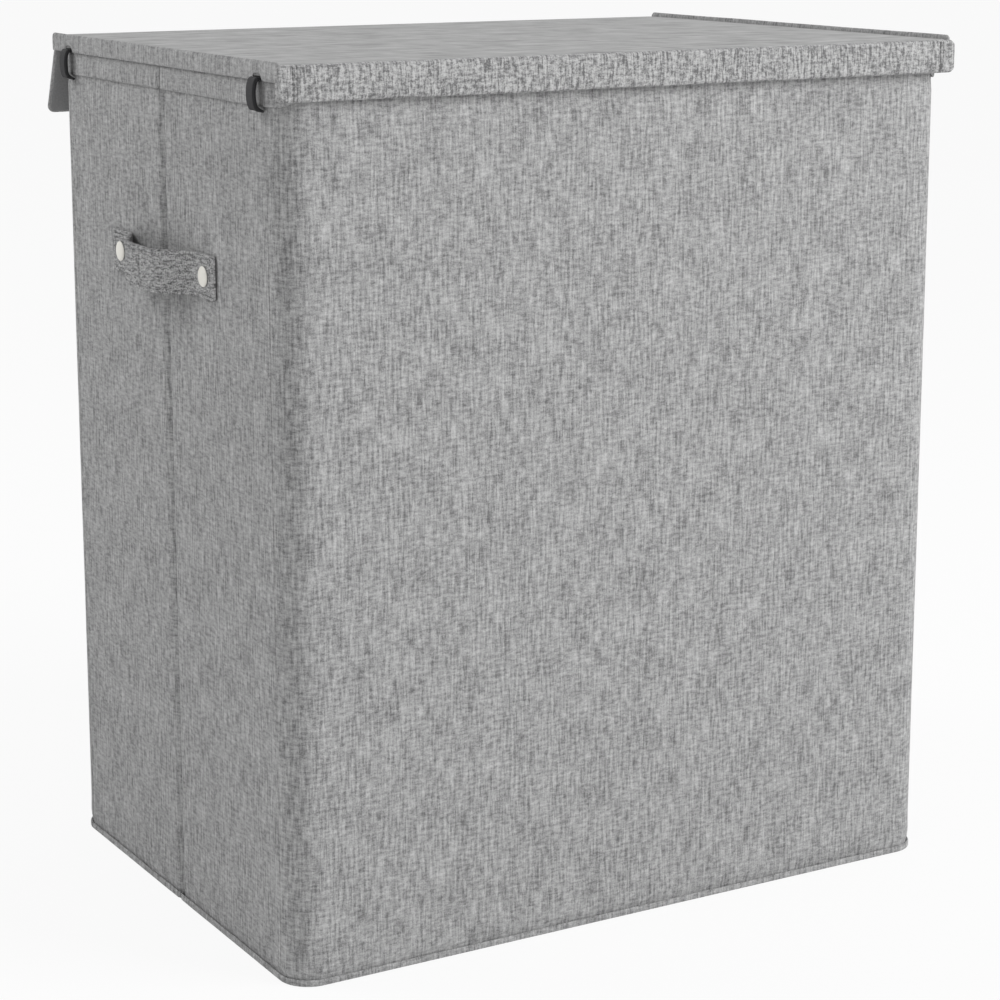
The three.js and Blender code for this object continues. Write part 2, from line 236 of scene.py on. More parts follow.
# Sizes of the sewn pieces
CLOTH, BAND = 0.9 * MM, 1.2 * MM
CORNER_SLIP, CORNER_STRIP = 0.05 * MM, 8 * MM
FLAP_LEAN = math.radians(22)
FLAP_HINGE_Y, FLAP_HINGE_Z = 207.8 * MM, 649.7 * MM
FLAP_HEIGHT, FLAP_THICK = 67 * MM, 3 * MM
STRAP_RISE = (64 * MM, 22 * MM)
STRAP_DROOP, STRAP_THICK, STRAP_GAP = 1.5 * MM, 3 * MM, 0.3 * MM
RIVET_Y, RIVET_R, RIVET_HEIGHT, SHANK_R = 76 * MM, 7.5 * MM, 2.2 * MM, 2.5 * MM
LOOP_Y, LOOP_HALF_THICK = 170.9 * MM, 0.8 * MM
BAG_R, WEBBING_HALF_SPAN, WEBBING_DROP, WEBBING_HALF_WIDTH = 14 * MM, 60 * MM, 95 * MM, 12 * MM
BACK_FACE_PLACE = np.array((0.7, 0.3))

SIDES = ((-1, "left"), (1, "right"))
CORNERS = tuple(
    (side, end, f"{side_name}_{end_name}")
    for side, side_name in SIDES for end, end_name in ((1, "rear"), (-1, "front")))


def length(label, words, default, low, high):
    return bpy.props.FloatProperty(
        name=label, description=words, default=default, min=low, max=high, unit="LENGTH")


def tint(label, words, *value):
    return bpy.props.FloatVectorProperty(
        name=label, description=words, subtype="COLOR", size=3, min=0.0, max=1.0, default=value)


class HamperSizes(bpy.types.PropertyGroup):
    front_bulge: length("Front bulge", "How far the front and back cloth swells", 0.0009, 0.0, 0.002)
    side_bulge: length("Side bulge", "How far the side cloth swells over its boards", 0.00018, 0.0, 0.0003)
    gutter_depth: length("Fold depth", "Depth of the gutter at the middle fold's top", 0.0042, 0.0, 0.0044)
    gutter_width: length("Fold width", "Half width of the gutter at the fold's top", 0.0085, 0.002, 0.011)
    lid_crown: length("Lid crown", "How far the padded lid rises in its middle", 0.0012, 0.0, 0.004)
    left_ridge: length("Left ridge", "How far the left binding stands above the lid", 0.0016, 0.0, 0.005)
    right_ridge: length("Right ridge", "How far the right binding stands above the lid", 0.0034, 0.0, 0.005)
    stitch_pitch: length("Stitch pitch", "Distance from one stitch to the next", 0.0034, 0.002, 0.008)
    stitch_length: length("Stitch length", "Thread that shows in one stitch", 0.0025, 0.001, 0.006)
    thread_radius: length("Thread radius", "Half the sewing thread's thickness", 0.0003, 0.0001, 0.001)
    bag_fold: length("Bag folds", "Depth of the loose folds in the lift-out bags", 0.0035, 0.0, 0.01)


class HamperColours(bpy.types.PropertyGroup):
    linen_dark: tint("Linen, dark yarn", "Darkest yarn of the wall linen", 0.155, 0.155, 0.157)
    linen_light: tint("Linen, light yarn", "Lightest yarn of the wall linen", 0.56, 0.56, 0.56)
    lid_dark: tint("Lid, dark yarn", "Darkest yarn of the smooth lid cloth", 0.25, 0.25, 0.25)
    lid_light: tint("Lid, light yarn", "Lightest yarn of the smooth lid cloth", 0.455, 0.455, 0.455)
    strap_dark: tint("Strap, dark yarn", "Darkest yarn of the strap linen", 0.09, 0.09, 0.092)
    strap_light: tint("Strap, light yarn", "Lightest yarn of the strap linen", 0.59, 0.59, 0.59)
    # The flap lining's tone is a dark cloth made darker still: painted shade for the shadow between the flap and the
    # wall.
    lining: tint("Flap lining", "Dark lining inside the rear flap", 0.3, 0.3, 0.302)
    bag: tint("Bag cloth", "Pale cloth of the lift-out bags", 0.66, 0.65, 0.62)
    webbing: tint("Bag webbing", "Webbing of the bag handles and hems", 0.48, 0.475, 0.45)
    elastic: tint("Elastic", "Black elastic loops", 0.022, 0.022, 0.024)
    rivet: tint("Rivet", "Cream enamel of the rivet heads", 0.92, 0.9, 0.83)
    thread: tint("Thread", "Sewing thread", 0.17, 0.17, 0.172)
    board: tint("Board", "Brown stiff board in the walls", 0.36, 0.25, 0.15)
    tape: tint("Tapes", "Pile of the fastening tapes", 0.035, 0.035, 0.037)
    washer: tint("Washers", "Steel of the washers", 0.56, 0.56, 0.55)
    foam: tint("Foam", "Foam in the lid", 0.75, 0.73, 0.68)


def sizes():
    return bpy.context.scene.hamper_sizes


def colours():
    return bpy.context.scene.hamper_colours


# Shader building

def feeds(tree, made, values):
    """Sets or links a node's inputs, from plain values and other nodes' outputs"""
    for key, value in values.items():
        if isinstance(value, bpy.types.NodeSocket):
            tree.links.new(value, made.inputs[key])
        else:
            made.inputs[key].default_value = value
    return made


def node(tree, kind, values=None, **settings):
    made = tree.nodes.new(kind)
    for key, value in settings.items():
        setattr(made, key, value)
    return feeds(tree, made, values or {})


def maths(tree, operation, *values, clamp=False):
    made = node(tree, "ShaderNodeMath", dict(enumerate(values)), operation=operation, use_clamp=clamp)
    return made.outputs[0]


def sine(tree, value, turns):
    return maths(tree, "SINE", maths(tree, "MULTIPLY", value, turns))


def axes(tree, vector):
    """The cloth's place along and across, apart"""
    return node(tree, "ShaderNodeSeparateXYZ", {0: vector}).outputs[:2]


def mottle(tree, place, times_u, times_v, shift=0.0, detail=2.0, rough=0.6):
    """Noise over the cloth's place with its two directions scaled apart, for long thin yarns"""
    u = maths(tree, "MULTIPLY_ADD", place[0], times_u, shift)
    v = maths(tree, "MULTIPLY_ADD", place[1], times_v, shift * 1.7)
    vector = node(tree, "ShaderNodeCombineXYZ", {0: u, 1: v}).outputs[0]
    values = {"Vector": vector, "Scale": 1.0, "Detail": detail, "Roughness": rough}
    return node(tree, "ShaderNodeTexNoise", values, noise_dimensions="2D").outputs["Fac"]


def toned(tree, colour, tone):
    return node(tree, "ShaderNodeVectorMath", {0: colour, "Scale": tone}, operation="SCALE").outputs[0]


def bumped(tree, height, distance, strength):
    values = {"Distance": distance, "Strength": strength, "Height": height}
    return node(tree, "ShaderNodeBump", values).outputs["Normal"]


def new_group(name, kind, inputs, outputs):
    """A node group with its sockets, and the outputs of its input node"""
    tree = bpy.data.node_groups.new(name, kind)
    for label, sort, *default in inputs:
        made = tree.interface.new_socket(name=label, in_out="INPUT", socket_type=f"NodeSocket{sort}")
        if default:
            made.default_value = default[0]
    for label, sort in outputs:
        tree.interface.new_socket(name=label, in_out="OUTPUT", socket_type=f"NodeSocket{sort}")
    return tree, node(tree, "NodeGroupInput").outputs


def linen_group():
    """Heathered linen: long pale and dark yarns one way, short slubs across, fine grain and a plain weave"""
    tree, given = new_group(
        "linen_weave", "ShaderNodeTree",
        [("Cloth", "Vector"), ("Dark", "Color", (0.2, 0.2, 0.2, 1)), ("Light", "Color", (0.6, 0.6, 0.6, 1)),
         ("Yarns", "Float", 700.0), ("Run", "Float", 60.0), ("Streaks", "Float", 1.0),
         ("Slubs", "Float", 0.8), ("Grain", "Float", 0.6), ("Clouds", "Float", 0.3)],
        [("Colour", "Color"), ("Height", "Float"), ("Roughness", "Float")])
    place = u, v = axes(tree, given["Cloth"])
    streak = mottle(tree, place, given["Yarns"], given["Run"], detail=3.0)
    short_run = maths(tree, "MULTIPLY", given["Run"], 2.6)
    thin = maths(tree, "MULTIPLY", given["Yarns"], 0.8)
    slub = mottle(tree, place, short_run, thin, 31.0)
    grain = mottle(tree, place, 900.0, 900.0, 7.0, rough=0.7)
    clouds = mottle(tree, place, 46.0, 32.0, 3.0, detail=4.0)
    total = 0.5
    for value, weight in ((streak, "Streaks"), (slub, "Slubs"), (grain, "Grain"), (clouds, "Clouds")):
        total = maths(tree, "MULTIPLY_ADD", maths(tree, "SUBTRACT", value, 0.5), given[weight], total)
    share = maths(tree, "ADD", total, 0.0, clamp=True)
    blend = node(
        tree, "ShaderNodeMix", {"Factor": share, "A": given["Dark"], "B": given["Light"]}, data_type="RGBA")
    crossed = maths(tree, "MULTIPLY", sine(tree, u, TAU / 0.0011), sine(tree, v, TAU / 0.0013))
    height = maths(tree, "MULTIPLY", crossed, 0.16)
    for value, weight in ((grain, 0.5), (slub, 0.8), (streak, 0.9)):
        height = maths(tree, "MULTIPLY_ADD", value, weight, height)
    node(tree, "NodeGroupOutput", {
        "Colour": blend.outputs["Result"], "Height": height,
        "Roughness": maths(tree, "MULTIPLY_ADD", share, -0.12, 0.95)})
    return tree


def plain_group():
    """Plain woven cloth or webbing: crossed threads, fine grain and soft clouds round one colour"""
    tree, given = new_group(
        "plain_weave", "ShaderNodeTree",
        [("Cloth", "Vector"), ("Colour", "Color", (0.5, 0.5, 0.5, 1)), ("Thread", "Float", 0.001),
         ("Depth", "Float", 0.5)],
        [("Colour", "Color"), ("Height", "Float")])
    place = u, v = axes(tree, given["Cloth"])
    turns = maths(tree, "DIVIDE", TAU, given["Thread"])
    weave = maths(tree, "MULTIPLY", sine(tree, u, turns), sine(tree, v, turns))
    grain = mottle(tree, place, 620.0, 620.0)
    clouds = mottle(tree, place, 14.0, 14.0, 5.0, detail=3.0)
    tone = maths(tree, "MULTIPLY_ADD", weave, 0.06, 1.0)
    for value, weight in ((grain, given["Depth"]), (clouds, 0.3)):
        tone = maths(tree, "MULTIPLY_ADD", maths(tree, "SUBTRACT", value, 0.5), weight, tone)
    node(tree, "NodeGroupOutput", {
        "Colour": toned(tree, given["Colour"], tone),
        "Height": maths(tree, "MULTIPLY_ADD", weave, 0.3, grain)})
    return tree


def cloth_place(tree):
    return node(tree, "ShaderNodeUVMap", uv_map="cloth").outputs["UV"]


def linen(tree, shader, tone, yarns, run, streaks, slubs, grain, clouds, relief=0.0004, strength=0.6):
    dark, light = (getattr(colours(), f"{tone}_{shade}") for shade in ("dark", "light"))
    made = node(
        tree, "ShaderNodeGroup",
        {"Cloth": cloth_place(tree), "Dark": (*dark, 1), "Light": (*light, 1), "Yarns": yarns, "Run": run,
         "Streaks": streaks, "Slubs": slubs, "Grain": grain, "Clouds": clouds},
        node_tree=bpy.data.node_groups.get("linen_weave") or linen_group())
    feeds(tree, shader, {
        "Base Color": made.outputs["Colour"], "Roughness": made.outputs["Roughness"],
        "Normal": bumped(tree, made.outputs["Height"], relief, strength), "Specular IOR Level": 0.25,
        "Sheen Weight": 0.08, "Sheen Roughness": 0.6})


def woven(tree, shader, tone, thread, depth, roughness, relief=0.0003, strength=0.5):
    made = node(
        tree, "ShaderNodeGroup",
        {"Cloth": cloth_place(tree), "Colour": (*getattr(colours(), tone), 1), "Thread": thread,
         "Depth": depth},
        node_tree=bpy.data.node_groups.get("plain_weave") or plain_group())
    feeds(tree, shader, {
        "Base Color": made.outputs["Colour"], "Roughness": roughness, "Specular IOR Level": 0.25,
        "Normal": bumped(tree, made.outputs["Height"], relief, strength)})


def braided(tree, shader, tone, roughness):
    """Braided elastic: ribs that run the length of the band, and a fine cross thread, with painted shade in the rib
    grooves and painted highlight on the crests
    """
    u, v = axes(tree, cloth_place(tree))
    height = maths(tree, "MULTIPLY_ADD", sine(tree, u, TAU / 0.0009), 0.4, sine(tree, v, TAU / 0.0013))
    # Painted shade and highlight: the colour follows the rib height, darker in the grooves and lighter on the crests.
    shade = maths(tree, "MULTIPLY_ADD", height, 0.25, 1.0)
    feeds(tree, shader, {
        "Base Color": toned(tree, getattr(colours(), tone), shade), "Roughness": roughness,
        "Normal": bumped(tree, height, 0.0003, 0.6)})


def specked(tree, shader, tone, roughness, metallic, speck, scale, relief=0.00005):
    """A hard or fibrous finish with fine specks, in the piece's own place"""
    place = node(tree, "ShaderNodeTexCoord").outputs["Object"]
    grain = node(tree, "ShaderNodeTexNoise", {"Vector": place, "Scale": scale, "Detail": 3.0}).outputs["Fac"]
    shade = maths(tree, "MULTIPLY_ADD", maths(tree, "SUBTRACT", grain, 0.5), speck * 2, 1.0)
    feeds(tree, shader, {
        "Base Color": toned(tree, getattr(colours(), tone), shade), "Metallic": metallic,
        "Roughness": maths(tree, "MULTIPLY_ADD", grain, 0.15, roughness - 0.07),
        "Normal": bumped(tree, grain, relief, 0.4)})


# Each material's kind of finish, then what that finish takes after its tree and shader
FINISHES = {
    "linen_walls": (linen, "linen", 500.0, 55.0, 1.35, 1.05, 0.85, 0.5),
    "linen_trims": (linen, "linen", 540.0, 60.0, 1.35, 0.9, 0.9, 0.3),
    "linen_lid": (linen, "lid", 18.0, 190.0, 2.2, 0.1, 0.4, 1.0, 0.0002, 0.3),
    "linen_lip": (linen, "linen", 540.0, 80.0, 2.15, 1.7, 1.4, 0.45, 0.0005, 0.7),
    "linen_straps": (linen, "strap", 150.0, 560.0, 2.0, 0.9, 2.2, 0.3, 0.0006, 0.8),
    "cotton_bags": (woven, "bag", 0.0014, 0.25, 0.95),
    "webbing_bags": (woven, "webbing", 0.0024, 0.45, 0.9, 0.0006, 0.7),
    # The flap lining's finish: a dark cloth whose tone also holds painted shade for the shadow inside the flap.
    "lining_flap": (woven, "lining", 0.0012, 0.35, 0.95),
    "pile_tapes": (woven, "tape", 0.0016, 0.9, 1.0, 0.0009, 1.0),
    "braid_elastic": (braided, "elastic", 0.75),
    "enamel_rivets": (specked, "rivet", 0.34, 0.0, 0.03, 500.0),
    "steel_washers": (specked, "washer", 0.35, 1.0, 0.1, 1400.0),
    "brown_board": (specked, "board", 0.9, 0.0, 0.25, 700.0, 0.0002),
    "foam_pad": (specked, "foam", 1.0, 0.0, 0.15, 1500.0, 0.0003),
    "thread_grey": (specked, "thread", 0.8, 0.0, 0.2, 3000.0, 0.0001),
}


def finish(name):
    """A material by its name, made when it is first asked for"""
    made = bpy.data.materials.get(name)
    if not made:
        made = bpy.data.materials.new(name)
        made.use_nodes = True
        build, *values = FINISHES[name]
        build(made.node_tree, made.node_tree.nodes["Principled BSDF"], *values)
    return made


# Mesh building

def face_outwards(mesh, merge=False):
    work = bmesh.new()
    work.from_mesh(mesh)
    if merge:
        bmesh.ops.remove_doubles(work, verts=work.verts, dist=1e-6)
    bmesh.ops.recalc_face_normals(work, faces=work.faces)
    work.to_mesh(mesh)
    work.free()


def put(name, points, faces, corners, material, slot):
    """A new piece from plain lists, smooth, with the cloth's own UV map in metres"""
    mesh = bpy.data.meshes.new(name)
    mesh.from_pydata(points.tolist(), [], faces)
    mesh.uv_layers.new(name="cloth").data.foreach_set("uv", corners.ravel())
    face_outwards(mesh)
    mesh.polygons.foreach_set("use_smooth", [True] * len(mesh.polygons))
    mesh.materials.append(finish(material))
    piece = bpy.data.objects.new(name, mesh)
    bpy.context.scene.collection.objects.link(piece)
    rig.slot(piece, slot)
    return piece


def dots(x, y, z):
    """Points from arrays of their three places, spread to one shape"""
    return np.stack(np.broadcast_arrays(x, y, z), axis=-1)


def travel(*places):
    """The length run along lines of points, from 0"""
    steps = np.linalg.norm(np.diff(np.stack(np.broadcast_arrays(*places)), axis=-1), axis=0)
    return np.concatenate([np.zeros((*steps.shape[:-1], 1)), np.cumsum(steps, axis=-1)], axis=-1)


def rows_of(rings, low, high):
    """Points, faces and cloth places of a skin over closed rings of points"""
    rings = np.asarray(rings, float)
    rows, count = rings.shape[:2]
    index = np.arange(rows * count).reshape(rows, count)
    ahead = np.roll(index, -1, axis=1)
    faces = np.stack([index[:-1], ahead[:-1], ahead[1:], index[1:]], axis=-1).reshape(-1, 4).tolist()
    corners = np.stack([low[:, :-1], low[:, 1:], high[:, 1:], high[:, :-1]], axis=2).reshape(-1, 2)
    return rings.reshape(-1, 3), faces, corners


def loft(name, rings, u, v, material, slot, caps=True):
    """A skin over closed rings; u and v are the cloth's place, with each ring's first point again last"""
    rows, count = rings.shape[:2]
    cloth = np.stack([np.broadcast_to(axis, (rows, count + 1)) for axis in (u, v)], axis=-1)
    points, faces, corners = rows_of(rings, cloth[:-1], cloth[1:])
    if caps:
        faces += [list(range(count))[::-1], list(range((rows - 1) * count, rows * count))]
        corners = np.concatenate([corners, cloth[0, :-1][::-1], cloth[-1, :-1]])
    return put(name, points, faces, corners, material, slot)


def settle(piece):
    """Takes the shape after its modifiers as the piece's own plain mesh"""
    graph = bpy.context.evaluated_depsgraph_get()
    mesh = bpy.data.meshes.new_from_object(piece.evaluated_get(graph))
    piece.modifiers.clear()
    piece.data = mesh
    return piece


def thicken(piece):
    """Gives an open skin its cloth's thickness on the inner side"""
    wall = piece.modifiers.new("cloth", "SOLIDIFY")
    wall.thickness = CLOTH
    wall.offset = -1.0
    return settle(piece)


def ease(value, start, end):
    """A smooth step from 0 at start to 1 at end"""
    share = np.clip((np.asarray(value, float) - start) / (end - start), 0, 1)
    return share * share * (3 - 2 * share)


def ripple(u, v, scale, seed):
    """Smooth, repeatable unevenness between about -1 and 1 over arrays of places"""
    u, v = np.broadcast_arrays(np.asarray(u, float), np.asarray(v, float))
    flat = [noise.noise(Vector((a * scale, b * scale, seed))) for a, b in zip(u.ravel(), v.ravel())]
    return np.array(flat).reshape(u.shape)


def runs(*parts):
    """Places along a line: each part is (start, end, step), and shared ends appear once"""
    kept = []
    for start, end, step in parts:
        count = max(1, round(abs(end - start) / step))
        kept += [start + (end - start) * i / count for i in range(count + 1)]
    tidy = [kept[0]]
    for value in kept[1:]:
        if abs(value - tidy[-1]) > 1e-7:
            tidy.append(value)
    return np.array(tidy)


def span(box, axis):
    """Middle and half length of a box in one direction"""
    low, high = box[0][axis], box[1][axis]
    return (high + low) / 2, (high - low) / 2


# The outer face of a wall from above: places, outward directions, the cloth's run, and a reach:
# the share of the way to an end wall's edge, or the distance from a side wall's fold
Path = namedtuple("Path", "x y out_x out_y run reach")


def end_path(back):
    """The front wall from its left edge round both corners, or the back wall as the same turned round"""
    turn = runs((0, math.pi / 2, math.pi / 2 / 12))
    centre = HALF_WIDTH - CORNER_R
    flat = runs((-centre, centre, 6 * MM))[1:-1]
    left_x, left_y = -np.cos(turn), -np.sin(turn)
    right_x, right_y = np.sin(turn), -np.cos(turn)
    out_x = np.concatenate([left_x, np.zeros(len(flat)), right_x])
    out_y = np.concatenate([left_y, -np.ones(len(flat)), right_y])
    x = np.concatenate([-centre + CORNER_R * left_x, flat, centre + CORNER_R * right_x])
    y = np.concatenate([
        -CORNER_Y + CORNER_R * left_y, np.full(len(flat), -HALF_DEPTH), -CORNER_Y + CORNER_R * right_y])
    run = np.concatenate([-HALF_RUN + CORNER_R * turn, flat, HALF_RUN - QUARTER + CORNER_R * turn])
    reach = np.abs(run) / HALF_RUN
    if back:
        return Path(-x, -y, -out_x, -out_y, run + 2 * HALF_RUN + 2 * CORNER_Y, reach)
    return Path(x, y, out_x, out_y, run, reach)


def side_path(side, end):
    """Half of a side wall from the middle fold to the corner, a little short at the linkage's open corner"""
    stop = CORNER_Y - (CORNER_SLIP if side > 0 > end else 0)
    away = runs(
        (FOLD_HALF_GAP, 4 * MM, 0.5 * MM), (4 * MM, 10 * MM, 0.75 * MM), (10 * MM, 16 * MM, 2 * MM),
        (16 * MM, 160 * MM, 6 * MM), (160 * MM, stop, 2 * MM))
    y = end * away
    ones = np.ones(len(y))
    return Path(side * HALF_WIDTH * ones, y, side * ones, 0 * ones, side * (HALF_RUN + y + CORNER_Y), away)


def each_wall():
    """Name, path, side and end of the two end walls, which have side 0, and of the four side halves"""
    yield "front", end_path(False), 0, -1
    yield "back", end_path(True), 0, 1
    for side, end, name in CORNERS:
        yield name, side_path(side, end), side, end


def hold(piece, name, side, end):
    """Rides cloth on its wall, and keeps a side half's last strip sewn to the wall round the corner"""
    if not side:
        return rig.ride(piece, "root" if end > 0 else "front")
    start, stop = ((side * HALF_WIDTH, end * y, 0) for y in (CORNER_Y - CORNER_STRIP, CORNER_Y))
    if end < 0 and side > 0:
        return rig.ride(piece, name)
    if end > 0:
        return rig.blend(piece, "root", name, start=stop, end=start)
    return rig.blend(piece, name, "front", start=start, end=stop)


def gutter(away, z):
    """Depth of the soft gutter at the middle fold: a steep one near the top, a rounder one below"""
    s = sizes()
    tight = ease(z, 0.25, 0.6)
    width = s.gutter_width * (1 - 0.3 * tight)
    return s.gutter_depth * (0.88 + 0.12 * tight) * np.clip(1 - away / width, 0, 1) ** (1.6 - 0.5 * tight)


def foot(z):
    """How the cloth tucks in above the foot binding and under the cuff"""
    return ease(z, 5.6 * MM, 11 * MM) * (1 - ease(z, 611 * MM, 621 * MM))


def tuck(z):
    """The crease right above the foot binding with its roll of cloth, and the crease below the cuff"""
    roll = 0.5 * MM * ease(z, 7 * MM, 13 * MM) * (1 - ease(z, 14 * MM, 30 * MM))
    return roll - 0.33 * MM * (1 - ease(z, 6 * MM, 8.5 * MM)) - 0.36 * MM * ease(z, 610 * MM, 619 * MM)


def end_outer(path, z):
    """How far the front or back cloth stands off: a swell, loose waves and small ripples"""
    rise = 0.35 + 0.65 * np.sin(np.pi * np.clip(z / COVER_HIGH, 0, 1))
    swell = sizes().front_bulge * np.clip(1 - path.reach ** 4, 0, 1) * rise
    waves, small = ripple(path.run, z, 9.0, 2.5), ripple(path.run, z, 31.0, 7.5)
    return (swell + 0.22 * MM * waves + 0.08 * MM * small + 0.3 * MM) * foot(z) + tuck(z)


def side_outer(path, z):
    """How far a side half's cloth stands off: a slight swell, and the gutter at the fold"""
    along = path.reach
    swell = sizes().side_bulge * np.sin(np.pi * np.clip(along / CORNER_Y, 0, 1))
    swell = swell + 0.07 * MM * ripple(path.run, z, 10.0, 4.5)
    corner = 0.3 * MM * ease(along, CORNER_Y - 14 * MM, CORNER_Y)
    return (swell + corner) * foot(z) + tuck(z) - gutter(along, z)


def wall_skin(name, path, outer, nose):
    """One wall's cloth: an open tube round its board, rounded at a fold, then given its thickness"""
    z = runs(
        (COVER_LOW, 10 * MM, 1.4 * MM), (10 * MM, 24 * MM, 3.5 * MM), (24 * MM, 612 * MM, 8 * MM),
        (612 * MM, COVER_HIGH, 3 * MM))[:, None]
    face, rear = (
        dots(path.x + path.out_x * out, path.y + path.out_y * out, z) for out in (outer(path, z), -WALL))
    rings = np.concatenate([face, rear[:, ::-1]], axis=1)
    run = np.concatenate([path.run, path.run[::-1]])
    if nose:
        toward = face[:, :1] - face[:, 1:2]
        toward = toward / np.linalg.norm(toward, axis=-1, keepdims=True)
        rings = np.concatenate([rings, (face[:, :1] + rear[:, :1]) / 2 + toward * 0.25 * MM], axis=1)
        run = np.append(run, run[-1])
    return thicken(loft(name, rings, np.append(run, run[0]), z, "linen_walls", "wall_linen", caps=False))


def band(name, path, rows):
    """A folded cloth band swept along a wall; rows are its section as outward places and heights"""
    out, up = (np.stack([np.broadcast_to(row[i], path.run.shape) for row in rows], axis=1) for i in (0, 1))
    rings = dots(path.x[:, None] + path.out_x[:, None] * out, path.y[:, None] + path.out_y[:, None] * out, up)
    girth = travel(*np.moveaxis(np.concatenate([rings, rings[:, :1]], axis=1), -1, 0))
    return loft(name, rings, path.run[:, None], girth + 0.02, "linen_trims", "trim_linen")


def cuff_section(path, side, end):
    """The rim cuff: a turned-over band, thinner and shorter at the fold, drawn in at the elastic loops"""
    low, high = CUFF[0].z, CUFF[1].z
    wave = ripple(path.run, 0.3, 22.0, 1.5)
    drop = 0.5 * MM * ripple(path.run, 0.7, 14.0, 9.5)
    near = 1 - ease(path.reach, 0.4 * MM, 5 * MM) if side else 0.0
    proud = PROUD + (0.0 if side else 0.12 * MM) + 0.1 * MM * wave - 0.9 * MM * near
    lift = drop + 1.6 * MM * near * (path.y > 0) - 0.3 * MM * near * (path.y < 0)
    if not side and end < 0:
        lift = lift + 6.5 * MM * ease(HALF_RUN - np.abs(path.run), 12 * MM, QUARTER)
    held = np.exp(-((np.abs(path.y) - LOOP_Y) / (11 * MM)) ** 4)
    puff = (0.75 + 0.35 * wave) * MM * (1 - held) * (1 - near)
    edge, inner, lining = low + lift, -WALL - proud, 0.28 * MM - 0.6 * near * MM
    return [
        (proud + 0.35 * puff, edge + 0.5 * MM), (proud + 0.8 * puff, edge + 2.2 * MM),
        (proud + puff, low + 6 * MM + 0.9 * lift), (proud + 0.6 * puff, low + 11 * MM + 0.5 * lift),
        (proud - 0.1 * MM, high - 1.6 * MM), (proud - 0.5 * MM, high - 0.5 * MM), (proud - 1.2 * MM, high),
        (-WALL / 2, high + 0.1 * MM), (inner + 1.2 * MM, high), (inner + 0.5 * MM, high - 0.5 * MM),
        (inner + 0.1 * MM, high - 1.6 * MM), (inner, low + 9 * MM), (inner, low + 0.5 * MM),
        (inner + 0.5 * MM, low), (inner + BAND, low + 0.4 * MM), (-WALL - 0.3 * MM, low + 9 * MM),
        (-WALL - 0.3 * MM, high - BAND - 0.6 * MM), (-WALL + 0.3 * MM, high - BAND),
        (-0.3 * MM, high - BAND), (lining, high - BAND - 0.6 * MM), (lining, low + 9 * MM + 0.6 * lift),
        (proud - BAND + 0.1 * MM, edge + 0.4 * MM), (proud - 0.5 * MM, edge)]


def welt_section(path, side, end):
    """The foot binding: a turned-under band with a soft upper edge"""
    high = WELT[1].z
    wave = ripple(path.run, 2.3, 26.0, 3.5)
    near = 1 - ease(path.reach, 0.4 * MM, 4 * MM) if side else 0.0
    proud = PROUD + 0.25 * MM + 0.15 * MM * wave - 0.9 * MM * near
    top = high + 0.35 * MM * ripple(path.run, 5.1, 30.0, 8.5)
    inner = -WALL - PROUD
    return [
        (proud - 0.9 * MM, 0), (proud - 0.25 * MM, 0.3 * MM), (proud, 1.0 * MM), (proud, 2.6 * MM),
        (proud - 0.15 * MM, top - 0.7 * MM), (proud - 0.6 * MM, top), (0.28 * MM, top - 0.5 * MM),
        (0.28 * MM, BAND + 0.4 * MM), (-0.4 * MM, BAND), (-WALL + 0.4 * MM, BAND),
        (-WALL - 0.3 * MM, BAND + 0.4 * MM), (-WALL - 0.3 * MM, high - 0.4 * MM), (inner + 0.6 * MM, high),
        (inner + 0.05 * MM, high - 0.7 * MM), (inner + 0.05 * MM, 0.8 * MM), (inner + 0.8 * MM, 0)]


def rounded_outline(half_u, half_v, radius, pitch, arc_steps):
    """A round-cornered rectangle as corner centres with outward directions, and its counts across and down"""
    across = max(2, round(2 * (half_u - radius) / pitch))
    down = max(2, round(2 * (half_v - radius) / pitch))
    points = []
    sides = ((1, 1, across), (-1, 1, down), (-1, -1, across), (1, -1, down))
    for quarter, (cu, cv, count) in enumerate(sides):
        start = np.array([cu * (half_u - radius), cv * (half_v - radius)])
        step = np.array([(-2 * cu, 0), (0, -2 * cv)][quarter % 2]) * (half_u - radius, half_v - radius)
        for i in range(arc_steps + 1):
            turn = (quarter + i / arc_steps) * math.pi / 2
            points.append((*start, math.cos(turn), math.sin(turn)))
        turn = (quarter + 1) * math.pi / 2
        for i in range(1, count):
            points.append((*(start + step * i / count), math.cos(turn), math.sin(turn)))
    return np.array(points), across, down


def face_grid(across, down, arc_steps, first, spare):
    """Point numbers of a plate's face, from its upper edge to its lower one; spare is the next free number"""
    chain = 2 * (arc_steps + 1) + across - 1
    grid = np.zeros((chain, down + 1), int)
    grid[:, 0] = np.arange(chain)
    grid[:, down] = 2 * chain + down - 2 - np.arange(chain)
    rows = np.arange(1, down)
    grid[0, 1:down] = 2 * chain + 2 * down - 2 - rows
    grid[-1, 1:down] = chain - 1 + rows
    grid += first
    grid[1:-1, 1:down] = spare + np.arange((chain - 2) * (down - 1)).reshape(chain - 2, down - 1)
    return grid


